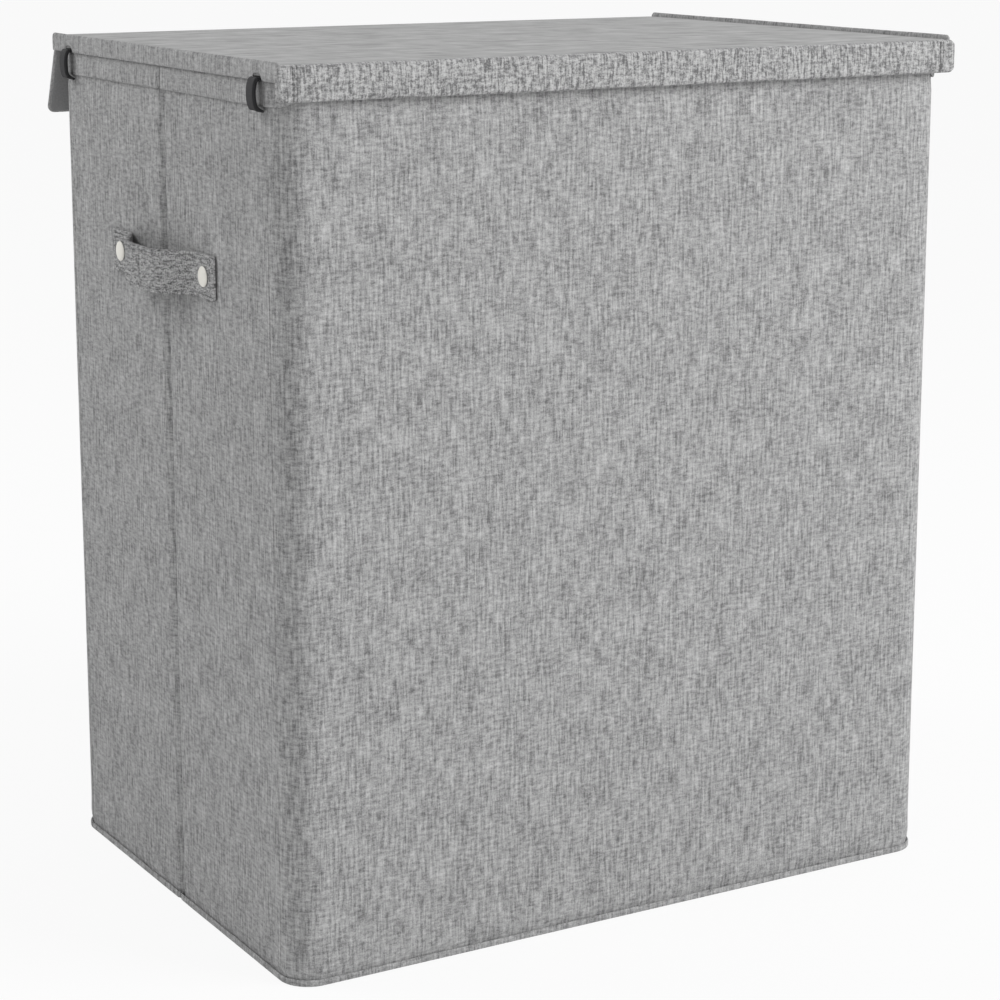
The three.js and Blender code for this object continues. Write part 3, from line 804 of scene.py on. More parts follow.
def plate(name, half_u, half_v, radius, layers, place, material, slot, split=1, pitch=6 * MM, arc_steps=8):
    """A soft sewn plate, from its back face over its edge to its front face.

    layers are (inset, height) pairs; place turns (u, v, height) into a position; from layer split on,
    the cloth's place is that of the front face."""
    base, across, down = rounded_outline(half_u, half_v, radius, pitch, arc_steps)
    rings, front, flat = [], [], []
    steps = [math.hypot(b[0] - a[0], b[1] - a[1]) for a, b in zip(layers, layers[1:])]
    for i, (inset, height) in enumerate(layers):
        edge = base[:, :2] + base[:, 2:] * (radius - inset)
        rings.append(np.stack(place(edge[:, 0], edge[:, 1], height + 0 * edge[:, 0]), axis=-1))
        beyond = max(sum(steps[i:]) - layers[-1][0] + inset, 0.0)
        front.append(edge + base[:, 2:] * beyond)
        flat.append(edge)
    front, back = (np.array([np.concatenate([row, row[:1]]) for row in rows]) for rows in (front, flat))
    back = back + BACK_FACE_PLACE
    low, high = front[:-1].copy(), front[1:].copy()
    low[:split], high[:split] = back[:-1][:split], back[1:][:split]
    points, faces, corners = rows_of(rings, low, high)
    for layer, shift in ((0, 1.0), (len(layers) - 1, 0.0)):
        grid = face_grid(across, down, arc_steps, layer * len(base), len(points))
        top, bottom = (flat[layer][grid[:, i] - layer * len(base)] for i in (0, down))
        share = np.arange(down + 1)[None, :, None] / down
        spread = top[:, None] * (1 - share) + bottom[:, None] * share
        inner = spread[1:-1, 1:down].reshape(-1, 2)
        made = place(inner[:, 0], inner[:, 1], layers[layer][1] + 0 * inner[:, 0])
        points = np.concatenate([points, np.stack(made, axis=-1)])
        quads = np.stack([grid[:-1, :-1], grid[1:, :-1], grid[1:, 1:], grid[:-1, 1:]], axis=-1)
        faces += quads.reshape(-1, 4).tolist()
        cloth = spread + BACK_FACE_PLACE * shift
        cells = np.stack([cloth[:-1, :-1], cloth[1:, :-1], cloth[1:, 1:], cloth[:-1, 1:]], axis=2)
        corners = np.concatenate([corners, cells.reshape(-1, 2)])
    return put(name, points, faces, corners, material, slot)


def stitch_tree():
    """Lays one small thread loop after another along a sewn line"""
    tree, given = new_group(
        "stitch_run", "GeometryNodeTree",
        [("Geometry", "Geometry"), ("Pitch", "Float", 0.0034), ("Length", "Float", 0.0025),
         ("Thread Radius", "Float", 0.0003), ("Material", "Material")],
        [("Geometry", "Geometry")])
    line = node(tree, "GeometryNodeMeshToCurve", {"Mesh": given["Geometry"]})
    spaced = node(
        tree, "GeometryNodeResampleCurve", {"Curve": line.outputs["Curve"], "Length": given["Pitch"]},
        mode="LENGTH")
    bead = node(tree, "GeometryNodeMeshUVSphere", {"Segments": 6, "Rings": 5, "Radius": 1.0})
    shape = node(tree, "ShaderNodeCombineXYZ", {
        0: maths(tree, "MULTIPLY", given["Length"], 0.5), 1: given["Thread Radius"],
        2: given["Thread Radius"]})
    drawn = node(tree, "GeometryNodeTransform", {"Geometry": bead.outputs["Mesh"], "Scale": shape.outputs[0]})
    tangent = node(tree, "GeometryNodeInputTangent").outputs[0]
    aim = node(tree, "FunctionNodeAlignRotationToVector", {"Vector": tangent}, axis="X")
    laid = node(tree, "GeometryNodeInstanceOnPoints", {
        "Points": spaced.outputs["Curve"], "Instance": drawn.outputs["Geometry"],
        "Rotation": aim.outputs["Rotation"]})
    real = node(tree, "GeometryNodeRealizeInstances", {"Geometry": laid.outputs["Instances"]})
    done = node(tree, "GeometryNodeSetMaterial", {
        "Geometry": real.outputs["Geometry"], "Material": given["Material"]})
    node(tree, "NodeGroupOutput", {"Geometry": done.outputs["Geometry"]})
    return tree


def stitches(name, lines):
    """One piece of stitches along one or more lines of points"""
    s = sizes()
    points, edges = [], []
    for line in lines:
        start = len(points)
        points += [tuple(p) for p in line]
        edges += [(start + i, start + i + 1) for i in range(len(line) - 1)]
    mesh = bpy.data.meshes.new(name)
    mesh.from_pydata(points, edges, [])
    piece = bpy.data.objects.new(name, mesh)
    bpy.context.scene.collection.objects.link(piece)
    sewn = piece.modifiers.new("stitches", "NODES")
    sewn.node_group = bpy.data.node_groups.get("stitch_run") or stitch_tree()
    values = {
        "Pitch": s.stitch_pitch, "Length": s.stitch_length, "Thread Radius": s.thread_radius,
        "Material": finish("thread_grey")}
    for item in sewn.node_group.interface.items_tree:
        if item.in_out == "INPUT" and item.name in values:
            sewn[item.identifier] = values[item.name]
    settle(piece)
    piece.data.polygons.foreach_set("use_smooth", [True] * len(piece.data.polygons))
    return piece


class HAMPER_OT_walls(bpy.types.Operator):
    """Make the six wall cloths round their boards"""
    bl_idname = "hamper.walls"
    bl_label = "Wall cloths"

    def execute(self, context):
        for name, path, side, end in each_wall():
            piece = wall_skin(f"{name}_wall_cloth", path, side_outer if side else end_outer, bool(side))
            hold(piece, name, side, end)
            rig.replaces(piece, f"{name}_cover")
        return {"FINISHED"}


class HAMPER_OT_rims(bpy.types.Operator):
    """Make the rim cuffs and the foot bindings"""
    bl_idname = "hamper.rims"
    bl_label = "Cuffs and foot bindings"

    def execute(self, context):
        for kind, section in (("cuff", cuff_section), ("welt", welt_section)):
            for name, path, side, end in each_wall():
                piece = band(f"{name}_{kind}_cloth", path, section(path, side, end))
                hold(piece, name, side, end)
                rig.replaces(piece, f"{name}_{kind}")
        return {"FINISHED"}


class HAMPER_OT_folds(bpy.types.Operator):
    """Make the cloth hinges in the middle folds"""
    bl_idname = "hamper.folds"
    bl_label = "Fold hinges"

    def execute(self, context):
        across = runs((3.2 * MM, -3.2 * MM, 0.4 * MM))
        z = runs((6 * MM, COVER_HIGH - 1 * MM, 16 * MM))[:, None]
        depth = np.minimum(gutter(0.0, z) + CLOTH, WALL - 1.4 * MM)
        out = -(depth + 0.5 * MM * ease(np.abs(across), 0, 3 * MM))
        for side, side_name in SIDES:
            x = side * (HALF_WIDTH + out)
            face, rear = dots(x, across, z), dots(x - side * 0.8 * MM, across, z)
            rings = np.concatenate([face, rear[:, ::-1]], axis=1)
            run = side * (HALF_RUN + CORNER_Y + np.concatenate([across, across[::-1], across[:1]]))
            piece = loft(f"{side_name}_fold_hinge", rings, run, z, "linen_walls", "wall_linen")
            place = side * HALF_WIDTH
            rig.blend(
                piece, f"{side_name}_rear", f"{side_name}_front",
                start=(place, 1.2 * MM, 0), end=(place, -1.2 * MM, 0))
        return {"FINISHED"}


class HAMPER_OT_lid(bpy.types.Operator):
    """Make the padded lid, its side bindings and its lining"""
    bl_idname = "hamper.lid"
    bl_label = "Lid"

    def execute(self, context):
        s = sizes()
        half_x, (middle_y, half_y) = LID[1].x, span(LID, 1)
        low, thick = LID[0].z, LID[1].z - LID[0].z

        def place(x, y, height):
            share = np.clip(1 - (x / half_x) ** 2, 0, 1) ** 0.5 * np.clip(1 - (y / half_y) ** 2, 0, 1) ** 0.5
            waves = ripple(x, y, 9.0, 1.5) + 0.5 * ripple(x, y, 23.0, 5.5)
            crown = np.where(height > thick - 0.05 * MM, share * (s.lid_crown + 0.35 * MM * waves), 0.0)
            return x, y + middle_y - 0.1 * MM, low + height + crown

        layers = [
            (3 * MM, thick - 1.1 * MM), (1.6 * MM, thick - 1.1 * MM), (1.1 * MM, thick - 1.8 * MM),
            (1.1 * MM, 1 * MM), (0.9 * MM, 0.1 * MM), (0.5 * MM, 0.0), (0.1 * MM, 0.3 * MM), (0, 1.2 * MM),
            (0, thick - 2.2 * MM), (0.1 * MM, thick - 1.1 * MM), (0.45 * MM, thick - 0.4 * MM),
            (1.1 * MM, thick - 0.04 * MM), (2.2 * MM, thick), (4 * MM, thick)]
        top = plate(
            "lid_top_skin", half_x, half_y, 8 * MM, layers, place, "linen_lid", "lid_linen", 4, 7 * MM)
        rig.ride(top, "lid")
        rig.replaces(top, "lid_top_cloth")
        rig.padded(top, fill=1.0)
        for (side, side_name), rise in zip(SIDES, (s.left_ridge, s.right_ridge)):
            self.binding(side, side_name, rise)
        self.lining()
        return {"FINISHED"}

    def binding(self, side, side_name, rise):
        """The raised cloth binding that runs along one side edge of the lid, lifted over the elastic loops"""
        front, back = LID[0].y, LID[1].y
        y = runs((front + 0.3 * MM, front + 3 * MM, 0.5 * MM), (front + 3 * MM, -160 * MM, 1.5 * MM),
                 (-160 * MM, 160 * MM, 6 * MM), (160 * MM, back - 6 * MM, 1.5 * MM),
                 (back - 6 * MM, back - 0.4 * MM, 0.8 * MM))[:, None]
        ends = np.sqrt(np.clip(np.minimum(y - y[0], (y[-1] - y)) / (2.2 * MM), 0, 1))
        high = TOP + (rise + 0.25 * MM * ripple(y, 0.4, 18.0, 6.5)) * (0.55 + 0.45 * ends)
        loop = np.exp(-((np.abs(y) - LOOP_Y) / (6.9 * MM)) ** 8)
        bottom = LID[0].z - 3 * MM + 4.6 * MM * loop
        out, up = np.array([
            (0.0, 0.0), (0.55, 0.02), (0.75, 0.12), (0.8, 0.45), (0.75, 0.8), (0.45, 0.94), (-0.2, 1.0),
            (-0.95, 1.0), (-1.6, 0.95), (-2.0, 0.86), (-2.1, 0.78)]).T
        out = out * MM
        rings = dots(side * (LID[1].x + out), y, bottom + (high - bottom) * up)
        rings[:, -1, 2] = TOP - 0.3 * MM
        girth = np.append(travel(out, up * 11 * MM), 0.02)
        piece = loft(f"lid_{side_name}_binding", rings, y, girth, "linen_trims", "trim_linen")
        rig.ride(piece, "lid")

    def lining(self):
        """The lining under the lid, slightly quilted"""
        half_x, (middle_y, half_y) = LINING[1].x, span(LINING, 1)
        top, thick = LINING[1].z, LINING[1].z - LINING[0].z

        def place(x, y, height):
            puff = 0.12 * MM * ripple(x, y, 16.0, 2.5) * (height > thick / 2)
            return x, y + middle_y, top - height + puff

        layers = [
            (3 * MM, 0.0), (0.4 * MM, 0.0), (0.1 * MM, 0.2 * MM), (0, thick / 2),
            (0.15 * MM, thick - 0.1 * MM), (0.6 * MM, thick), (3 * MM, thick)]
        piece = plate(
            "lid_lining_cloth", half_x, half_y, 6.7 * MM, layers, place, "cotton_bags", "bag_cloth", 1,
            9 * MM)
        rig.ride(piece, "lid")
        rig.replaces(piece, "lid_lining")


class HAMPER_OT_lip(bpy.types.Operator):
    """Make the lid's front lip with its sewn ends"""
    bl_idname = "hamper.lip"
    bl_label = "Front lip"

    def execute(self, context):
        half_x, (middle_z, half_z) = LIP[1].x, span(LIP, 2)
        inner_y, thick = LIP[1].y, LIP[1].y - LIP[0].y
        seams = (half_x - 11.5 * MM, half_x - 14.5 * MM)

        def place(x, z, height):
            puff = 0.25 * MM * ripple(x, z, 30.0, 3.5) + 0.12 * MM * ripple(x, z, 90.0, 6.5)
            for seam in seams:
                puff = puff - 1.2 * MM * np.exp(-((np.abs(x) - seam) / (0.8 * MM)) ** 2)
            face = np.clip(height / thick, 0, 1) ** 2
            edge = 0.3 * MM * ripple(x, 0, 19.0, 8.5) * (z < 0) * (np.abs(z) / half_z) ** 4
            return x, inner_y + 0.03 * MM - height - puff * face, z + middle_z + edge

        layers = [
            (3 * MM, 0.0), (0.6 * MM, 0.0), (0.1 * MM, 0.1 * MM), (0, 0.5 * MM), (0, 2 * MM),
            (0.15 * MM, 3 * MM), (0.6 * MM, 3.9 * MM), (1.3 * MM, 4.4 * MM), (2.3 * MM, thick),
            (3.6 * MM, thick + 0.1 * MM)]
        piece = plate(
            "lid_lip_skin", half_x, half_z, 5 * MM, layers, place, "linen_lip", "trim_linen", 1, 0.9 * MM, 6)
        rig.ride(piece, "lid")
        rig.replaces(piece, "lid_lip_cloth")
        heights = runs((LIP[0].z + 2 * MM, LIP[1].z - 2 * MM, 2 * MM))
        lines = [
            [(side * seam, LIP[0].y + 0.6 * MM, z) for z in heights] for side in (-1, 1) for seam in seams]
        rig.ride(stitches("lid_lip_stitches", lines), "lid")
        return {"FINISHED"}


def leaned(x, y, z):
    """A place on the flap as if it hung straight, turned out about the flap's hinge"""
    dy, dz = y - FLAP_HINGE_Y, z - FLAP_HINGE_Z
    c, s = math.cos(FLAP_LEAN), math.sin(FLAP_LEAN)
    return x, FLAP_HINGE_Y + dy * c - dz * s, FLAP_HINGE_Z + dy * s + dz * c


class HAMPER_OT_flap(bpy.types.Operator):
    """Make the rear flap, its lining darkened as painted shade, and the fastening tapes"""
    bl_idname = "hamper.flap"
    bl_label = "Rear flap and tapes"

    def execute(self, context):
        half_x, half_z = FLAP[1].x, FLAP_HEIGHT / 2
        middle_z = FLAP_HINGE_Z - half_z
        inner_y = FLAP_HINGE_Y - FLAP_THICK

        def place(x, z, height):
            puff = 0.2 * MM * ripple(x, z, 14.0, 4.5) * (height / FLAP_THICK)
            curl = 0.8 * MM * ripple(x, 0, 6.0, 1.5) * np.clip((half_z - z) / FLAP_HEIGHT, 0, 1) ** 2
            return leaned(x, inner_y + height + puff + curl, z + middle_z)

        def under(x, z, height):
            return leaned(x, inner_y - 0.02 * MM - height, z + middle_z - 2 * MM)

        layers = [
            (4 * MM, 0), (1.2 * MM, 0.0), (0.4 * MM, 0.3 * MM), (0.05 * MM, 1 * MM), (0.05 * MM, 2 * MM),
            (0.4 * MM, 2.7 * MM), (1.2 * MM, 3 * MM), (4 * MM, 3 * MM)]
        piece = plate(
            "rear_flap_skin", half_x, half_z, 6 * MM, layers, place, "linen_trims", "trim_linen", 1, 5 * MM)
        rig.ride(piece, "flap")
        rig.replaces(piece, "rear_flap")
        # The lining is a dark sheet under the flap, darkened as painted shade for the shadow between the flap and the
        # wall.
        sheet = [(3 * MM, 0.0), (0.3 * MM, 0.0), (0, 0.1 * MM), (0.3 * MM, 0.22 * MM), (3 * MM, 0.25 * MM)]
        lining = plate(
            "rear_flap_lining", half_x - 2 * MM, half_z - 4 * MM, 4 * MM, sheet, under, "lining_flap",
            "trim_linen")
        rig.ride(lining, "flap")
        inset = 5 * MM
        low = FLAP_HINGE_Z - FLAP_HEIGHT + inset
        face = FLAP_HINGE_Y + 0.1 * MM
        up = runs((low, FLAP_HINGE_Z - inset, 4 * MM))
        lines = [[leaned(x, face, low) for x in runs((-half_x + inset, half_x - inset, 5 * MM))]]
        lines += [[leaned(side * (half_x - inset), face, z) for z in up] for side in (-1, 1)]
        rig.ride(stitches("rear_flap_stitches", lines), "flap")
        self.tape("hook_tape", "root", False)
        self.tape("loop_tape", "flap", True)
        return {"FINISHED"}

    def tape(self, name, body, turned):
        """One woven fastening tape with a soft pile face"""
        (middle_z, half_z), thick = span(HOOK, 2), HOOK[1].y - HOOK[0].y
        near = HOOK[0].y + (thick + 0.3 * MM if turned else 0)

        def place(x, z, height):
            y = near + height
            return leaned(x, y - 0.25 * MM, z + middle_z) if turned else (x, y, z + middle_z)

        edge = [
            (1 * MM, 0.0), (0.2 * MM, 0.05 * MM), (0, 0.3 * MM), (0, thick - 0.3 * MM),
            (0.3 * MM, thick - 0.05 * MM), (1 * MM, thick)]
        piece = plate(
            f"{name}_pile", HOOK[1].x, half_z, 1.5 * MM, edge, place, "pile_tapes", "fastening_tape", 2)
        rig.ride(piece, body)
        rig.replaces(piece, name)


class HAMPER_OT_handles(bpy.types.Operator):
    """Make the two strap handles with their edge stitches"""
    bl_idname = "hamper.handles"
    bl_label = "Strap handles"

    def execute(self, context):
        long = STRAP[1].y
        y = runs((0, 20 * MM, 4 * MM), (20 * MM, 68 * MM, 2 * MM), (68 * MM, long - 3 * MM, 3 * MM),
                 (long - 3 * MM, long, 0.5 * MM))
        for side, end, body in CORNERS:
            side_name, end_name = body.split("_")
            self.half(side, end, f"{side_name}_strap_{end_name}", body, end * y)
        return {"FINISHED"}

    def half(self, side, end, name, body, y):
        """One half of a strap, from its middle to one riveted end"""
        away = np.abs(y)
        bow = abs(STRAP[0].x) - HALF_WIDTH - STRAP_GAP - STRAP_THICK
        raised = 1 - ease(away, STRAP_RISE[1], STRAP_RISE[0])
        middle = HALF_WIDTH + STRAP_GAP + STRAP_THICK / 2 + bow * raised
        slope = np.gradient(middle, away)
        along = 1 / np.sqrt(1 + slope ** 2)
        half_z = span(STRAP, 2)[1]
        tip = np.sqrt(np.clip((STRAP[1].y - away) / (2.5 * MM), 0.04, 1))
        across = np.array((-0.97, -0.9, -0.82, -0.7, -0.5, -0.25, 0, 0.25, 0.5, 0.7, 0.82, 0.9, 0.97))
        face = np.where(np.abs(across) == 0.82, 0.86, 1.0)
        ring_v = np.array([-1.0, *across, 1.0, 1.0, *across[::-1], -1.0])
        ring_o = np.array([0.55, *face, 0.55, -0.55, *-face[::-1], -0.55])
        uneven = 1 + 0.05 * ripple(y, 0.2 * side, 40.0, 2.5)
        off = ring_o * (STRAP_THICK / 2) * (tip * uneven)[:, None]
        sag = 0.5 * MM * ripple(y, 3.0, 12.0, 4.5) - STRAP_DROOP * (1 - ease(away, 0, STRAP_RISE[0]))
        high = ring_v * (half_z - 1.2 * MM * (1 - tip))[:, None] + sag[:, None]
        rings = dots(
            side * middle[:, None] + (side * along)[:, None] * off,
            y[:, None] + (-end * slope * along)[:, None] * off, STRAP_Z + high)
        run = (end * travel(middle, y))[:, None]
        piece = loft(name, rings, run, np.append(ring_v, ring_v[0]) * half_z, "linen_straps", "handle_linen")
        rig.ride(piece, body)
        if end > 0:
            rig.replaces(piece, f"{body.split('_')[0]}_handle")
        self.crumple(piece, side)
        edge = half_z - 3 * MM
        sewn = away < STRAP[1].y - 3 * MM
        line = list(zip(side * (middle + STRAP_THICK / 2 - 0.02 * MM)[sewn], y[sewn], sag[sewn]))
        lines = [[(x, p, STRAP_Z + sign * edge + d) for x, p, d in line] for sign in (-1, 1)]
        last = [(line[-1][0], line[-1][1], STRAP_Z + h) for h in runs((-edge, edge, 3 * MM))]
        thread = stitches(f"{name}_stitches", [*lines, last])
        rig.ride(thread, body)
        self.crumple(thread, side)

    def crumple(self, piece, side):
        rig.squash(piece, "fold", axis=(1, 0, 0), anchor=(side * (HALF_WIDTH + 0.3 * MM), 0, 0), keep=0.16)


class HAMPER_OT_rivets(bpy.types.Operator):
    """Make the domed rivets"""
    bl_idname = "hamper.rivets"
    bl_label = "Rivets"

    def execute(self, context):
        around = np.append(np.arange(40) / 40 * TAU, 0)
        for side, end, name in CORNERS:
            tail, far = sorted(abs(corner.x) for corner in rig.box(f"{name}_rivet"))
            base = far - RIVET_HEIGHT
            profile = [
                (0.05 * MM, tail), (2.2 * MM, tail), (SHANK_R, tail + 0.3 * MM), (SHANK_R, base - 0.1 * MM),
                (RIVET_R - 0.6 * MM, base), (RIVET_R - 0.15 * MM, base + 0.1 * MM),
                (RIVET_R, base + 0.4 * MM)]
            profile += [
                (max(RIVET_R * math.cos(turn), 0.05 * MM), base + (0.4 + 1.8 * math.sin(turn)) * MM)
                for turn in (i / 10 * math.pi / 2 for i in range(1, 11))]
            r, out = np.array(profile).T[:, :, None]
            rings = dots(
                side * out, end * RIVET_Y + r * np.cos(around[:-1]), STRAP_Z + r * np.sin(around[:-1]))
            piece = loft(
                f"{name}_rivet_dome", rings, np.linspace(0, 0.047, 41), out, "enamel_rivets", "rivet_enamel")
            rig.ride(piece, name)
            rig.replaces(piece, f"{name}_rivet")
        return {"FINISHED"}


def mirrored_ring(half):
    """A flat band's section as (across, thickness) shares, from its upper half"""
    return np.array([*half, *((v, -o) for v, o in half[::-1])]).T


def normals(path):
    """Directions across a path in its own plane"""
    along = path / np.linalg.norm(path, axis=1, keepdims=True)
    return np.stack([-along[:, 1], along[:, 0]], axis=1)


class HAMPER_OT_elastics(bpy.types.Operator):
    """Make the four black elastic loops over the rim"""
    bl_idname = "hamper.elastics"
    bl_label = "Elastic loops"

    def execute(self, context):
        half = LOOP_HALF_THICK
        for side, end, name in CORNERS:
            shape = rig.box(f"{name}_elastic")
            inside = min(abs(shape[0].x), abs(shape[1].x)) + half
            outside = HALF_WIDTH + PROUD + 0.3 * MM + half
            over, low = shape[1].z - half, CUFF[0].z - 2 * MM
            middle, bend, rise = (over + low) / 2, 0.3 * MM + half, -0.6 * MM
            path = [(inside, z) for z in runs((shape[0].z, over - bend, 3 * MM))]
            path += [(inside + bend - bend * math.cos(t), over - bend + bend * math.sin(t))
                     for t in runs((0, math.pi / 2, math.pi / 14))[1:]]
            path += [(x, over) for x in runs((inside + bend, outside + 0.6 * MM, 1.5 * MM))[1:]]
            centre, reach, tall = outside + 2.6 * MM, 2.9 * MM, over + rise - middle
            path += [(centre + reach * math.cos(t), middle + tall * math.sin(t))
                     for t in runs((math.radians(100), math.radians(-74), math.radians(6)))]
            path += [(outside + 0.2 * MM, low - 0.4 * MM), (HALF_WIDTH + 0.5 * MM + half, low - 1.2 * MM)]
            self.loop(name, side, np.array(path), shape[0].y, shape[1].y)
        return {"FINISHED"}

    def loop(self, name, side, path, y0, y1):
        """A flat braided band along its path, thicker where it bows out"""
        normal = normals(np.gradient(path, axis=0))
        v, o = mirrored_ring([
            (-1, 0.3), (-0.97, 0.8), (-0.85, 1), (-0.5, 1), (0, 1), (0.5, 1), (0.85, 1), (0.97, 0.8),
            (1, 0.3)])
        v = v * ((y1 - y0) / 2)
        full = 1 + 0.9 * ease(path[:, 0], HALF_WIDTH + 3.4 * MM, HALF_WIDTH + 6 * MM)
        o = o * (LOOP_HALF_THICK * full)[:, None]
        rings = dots(
            side * (path[:, :1] + normal[:, :1] * o), (y0 + y1) / 2 + v, path[:, 1:] + normal[:, 1:] * o)
        piece = loft(
            f"{name}_elastic_loop", rings, travel(*path.T)[:, None], np.append(v, v[0]), "braid_elastic",
            "elastic_band")
        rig.ride(piece, name)
        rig.replaces(piece, f"{name}_elastic")


def flatten(piece):
    """A bag or base that is pressed against the back wall as the hamper folds"""
    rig.squash(piece, "fold", axis=(0, 1, 0), anchor=(0, 0.1852, 0), keep=0.0135)


class HAMPER_OT_bags(bpy.types.Operator):
    """Make the two lift-out bags with hems and webbing handles"""
    bl_idname = "hamper.bags"
    bl_label = "Lift-out bags"

    def execute(self, context):
        for side, side_name in SIDES:
            self.shell(side, side_name)
            self.hem(side, side_name)
            for end, end_name in ((1, "rear"), (-1, "front")):
                self.handle(side, side_name, end, end_name)
        return {"FINISHED"}

    def outline(self, side, inset, box):
        """The bag seen from above at one inset"""
        middle_x, half_x = span(box, 0)
        base = rounded_outline(half_x, box[1].y, BAG_R, 6 * MM, 6)[0]
        u = base[:, 0] + base[:, 2] * (BAG_R - inset) + side * middle_x
        v = base[:, 1] + base[:, 3] * (BAG_R - inset)
        return u, v, base[:, 2], base[:, 3]

    def shell(self, side, side_name):
        """The bag's floor and walls with loose folds, which end below the webbing"""
        x, y, out_x, out_y = self.outline(side, 0.6 * MM, BAG)
        girth = travel(np.append(x, x[0]), np.append(y, y[0]))
        centre, floor, top = side * span(BAG, 0)[0], BAG[0].z + 0.3 * MM, BAG[1].z
        rings = []
        for share in (0.003, 0.25, 0.5, 0.75, 0.92, 0.98):
            lift = 0.4 * MM * (1 + ripple(x * share, y * share, 25.0, 3.5))
            rings.append(dots(centre + (x - centre) * share, y * share, floor + lift))
        for z in runs((floor + 3 * MM, floor + 12 * MM, 3 * MM), (floor + 12 * MM, top, 12 * MM)):
            free = ease(z, floor, floor + 0.05) * (1 - ease(z, top - 0.2, top - 0.1))
            wave = 0.6 * ripple(girth[:-1], z * 0.25, 17.0, 2.5 + side)
            wave = wave + 0.4 * ripple(girth[:-1], z, 8.0, 6.5)
            inward = -sizes().bag_fold * free * (0.5 + 0.75 * wave) * (wave > -0.66) - 0.4 * MM * free
            rings.append(dots(x + out_x * inward, y + out_y * inward, z))
        rings = np.array(rings)
        height = np.concatenate([[0], np.cumsum(np.linalg.norm(np.diff(rings, axis=0), axis=-1).mean(1))])
        piece = loft(
            f"{side_name}_bag_shell", rings, girth, height[:, None], "cotton_bags", "bag_cloth", caps=False)
        thicken(piece)
        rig.ride(piece, f"{side_name}_bin")
        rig.replaces(piece, f"{side_name}_bag")
        flatten(piece)

    def hem(self, side, side_name):
        """The stiff band round the bag's mouth, with two rows of stitches"""
        low, high = HEM[0].z, HEM[1].z
        rings = []
        for inset, up in (
                (2.3, 0.6), (2.3, 13.4), (1.9, 13.9), (1.2, 14.1), (0.5, 13.9), (0.12, 13.4), (0.05, 7),
                (0.12, 0.6), (0.5, 0.12), (1.2, 0.0), (1.9, 0.12)):
            x, y = self.outline(side, inset * MM, HEM)[:2]
            wave = 0.15 * MM * ripple(x, y, 20.0, 5.5)
            rings.append(dots(x, y, low + up * MM * (high - low) / (14.1 * MM) + wave))
        rings = np.array(rings).transpose(1, 0, 2)
        rings = np.concatenate([rings, rings[:1]])
        run = travel(*rings[:, 6].T)[:, None]
        around = np.cumsum([0, 3.0, 12.8, 0.6, 0.7, 0.7, 0.6, 6.4, 6.4, 0.6, 0.7, 0.7]) * MM
        piece = loft(
            f"{side_name}_bag_hem_band", rings, run, around, "webbing_bags", "bag_webbing", caps=False)
        face_outwards(piece.data, merge=True)
        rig.ride(piece, f"{side_name}_bin")
        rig.replaces(piece, f"{side_name}_bag_hem")
        flatten(piece)
        x, y = (np.append(line, line[0]) for line in self.outline(side, 2.32 * MM, HEM)[:2])
        lines = [[(a, b, low + up) for a, b in zip(x, y)] for up in (3 * MM, 11 * MM)]
        sewn = stitches(f"{side_name}_bag_hem_stitches", lines)
        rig.ride(sewn, f"{side_name}_bin")
        flatten(sewn)

    def handle(self, side, side_name, end, end_name):
        """A webbing arch sewn inside the hem, hanging down the bag's inner face"""
        node_name = f"{side_name}_bag_handle_{end_name}"
        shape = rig.box(node_name)
        turn = runs((0, math.pi, math.pi / 48))
        x = span(shape, 0)[0] - WEBBING_HALF_SPAN * np.cos(turn)
        z = HEM[1].z - WEBBING_DROP * np.sin(turn)
        normal = normals(np.stack([WEBBING_HALF_SPAN * np.sin(turn), -WEBBING_DROP * np.cos(turn)], axis=1))
        v, o = mirrored_ring([
            (-1, 0.4), (-0.96, 0.85), (-0.8, 1), (-0.4, 0.9), (0, 1), (0.4, 0.9), (0.8, 1), (0.96, 0.85),
            (1, 0.4)])
        v = v * WEBBING_HALF_WIDTH
        hang = -end * 1.2 * MM * np.sin(turn) ** 2 * (0.6 + 0.4 * ripple(turn, side, 1.3, 2.5))
        rings = dots(
            x[:, None] + normal[:, :1] * v, (span(shape, 1)[0] + hang)[:, None] + o * 0.95 * MM,
            z[:, None] + normal[:, 1:] * v)
        piece = loft(
            f"{node_name}_webbing", rings, travel(x, z)[:, None], np.append(v, v[0]), "webbing_bags",
            "bag_webbing")
        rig.ride(piece, f"{side_name}_bin")
        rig.replaces(piece, node_name)
        flatten(piece)


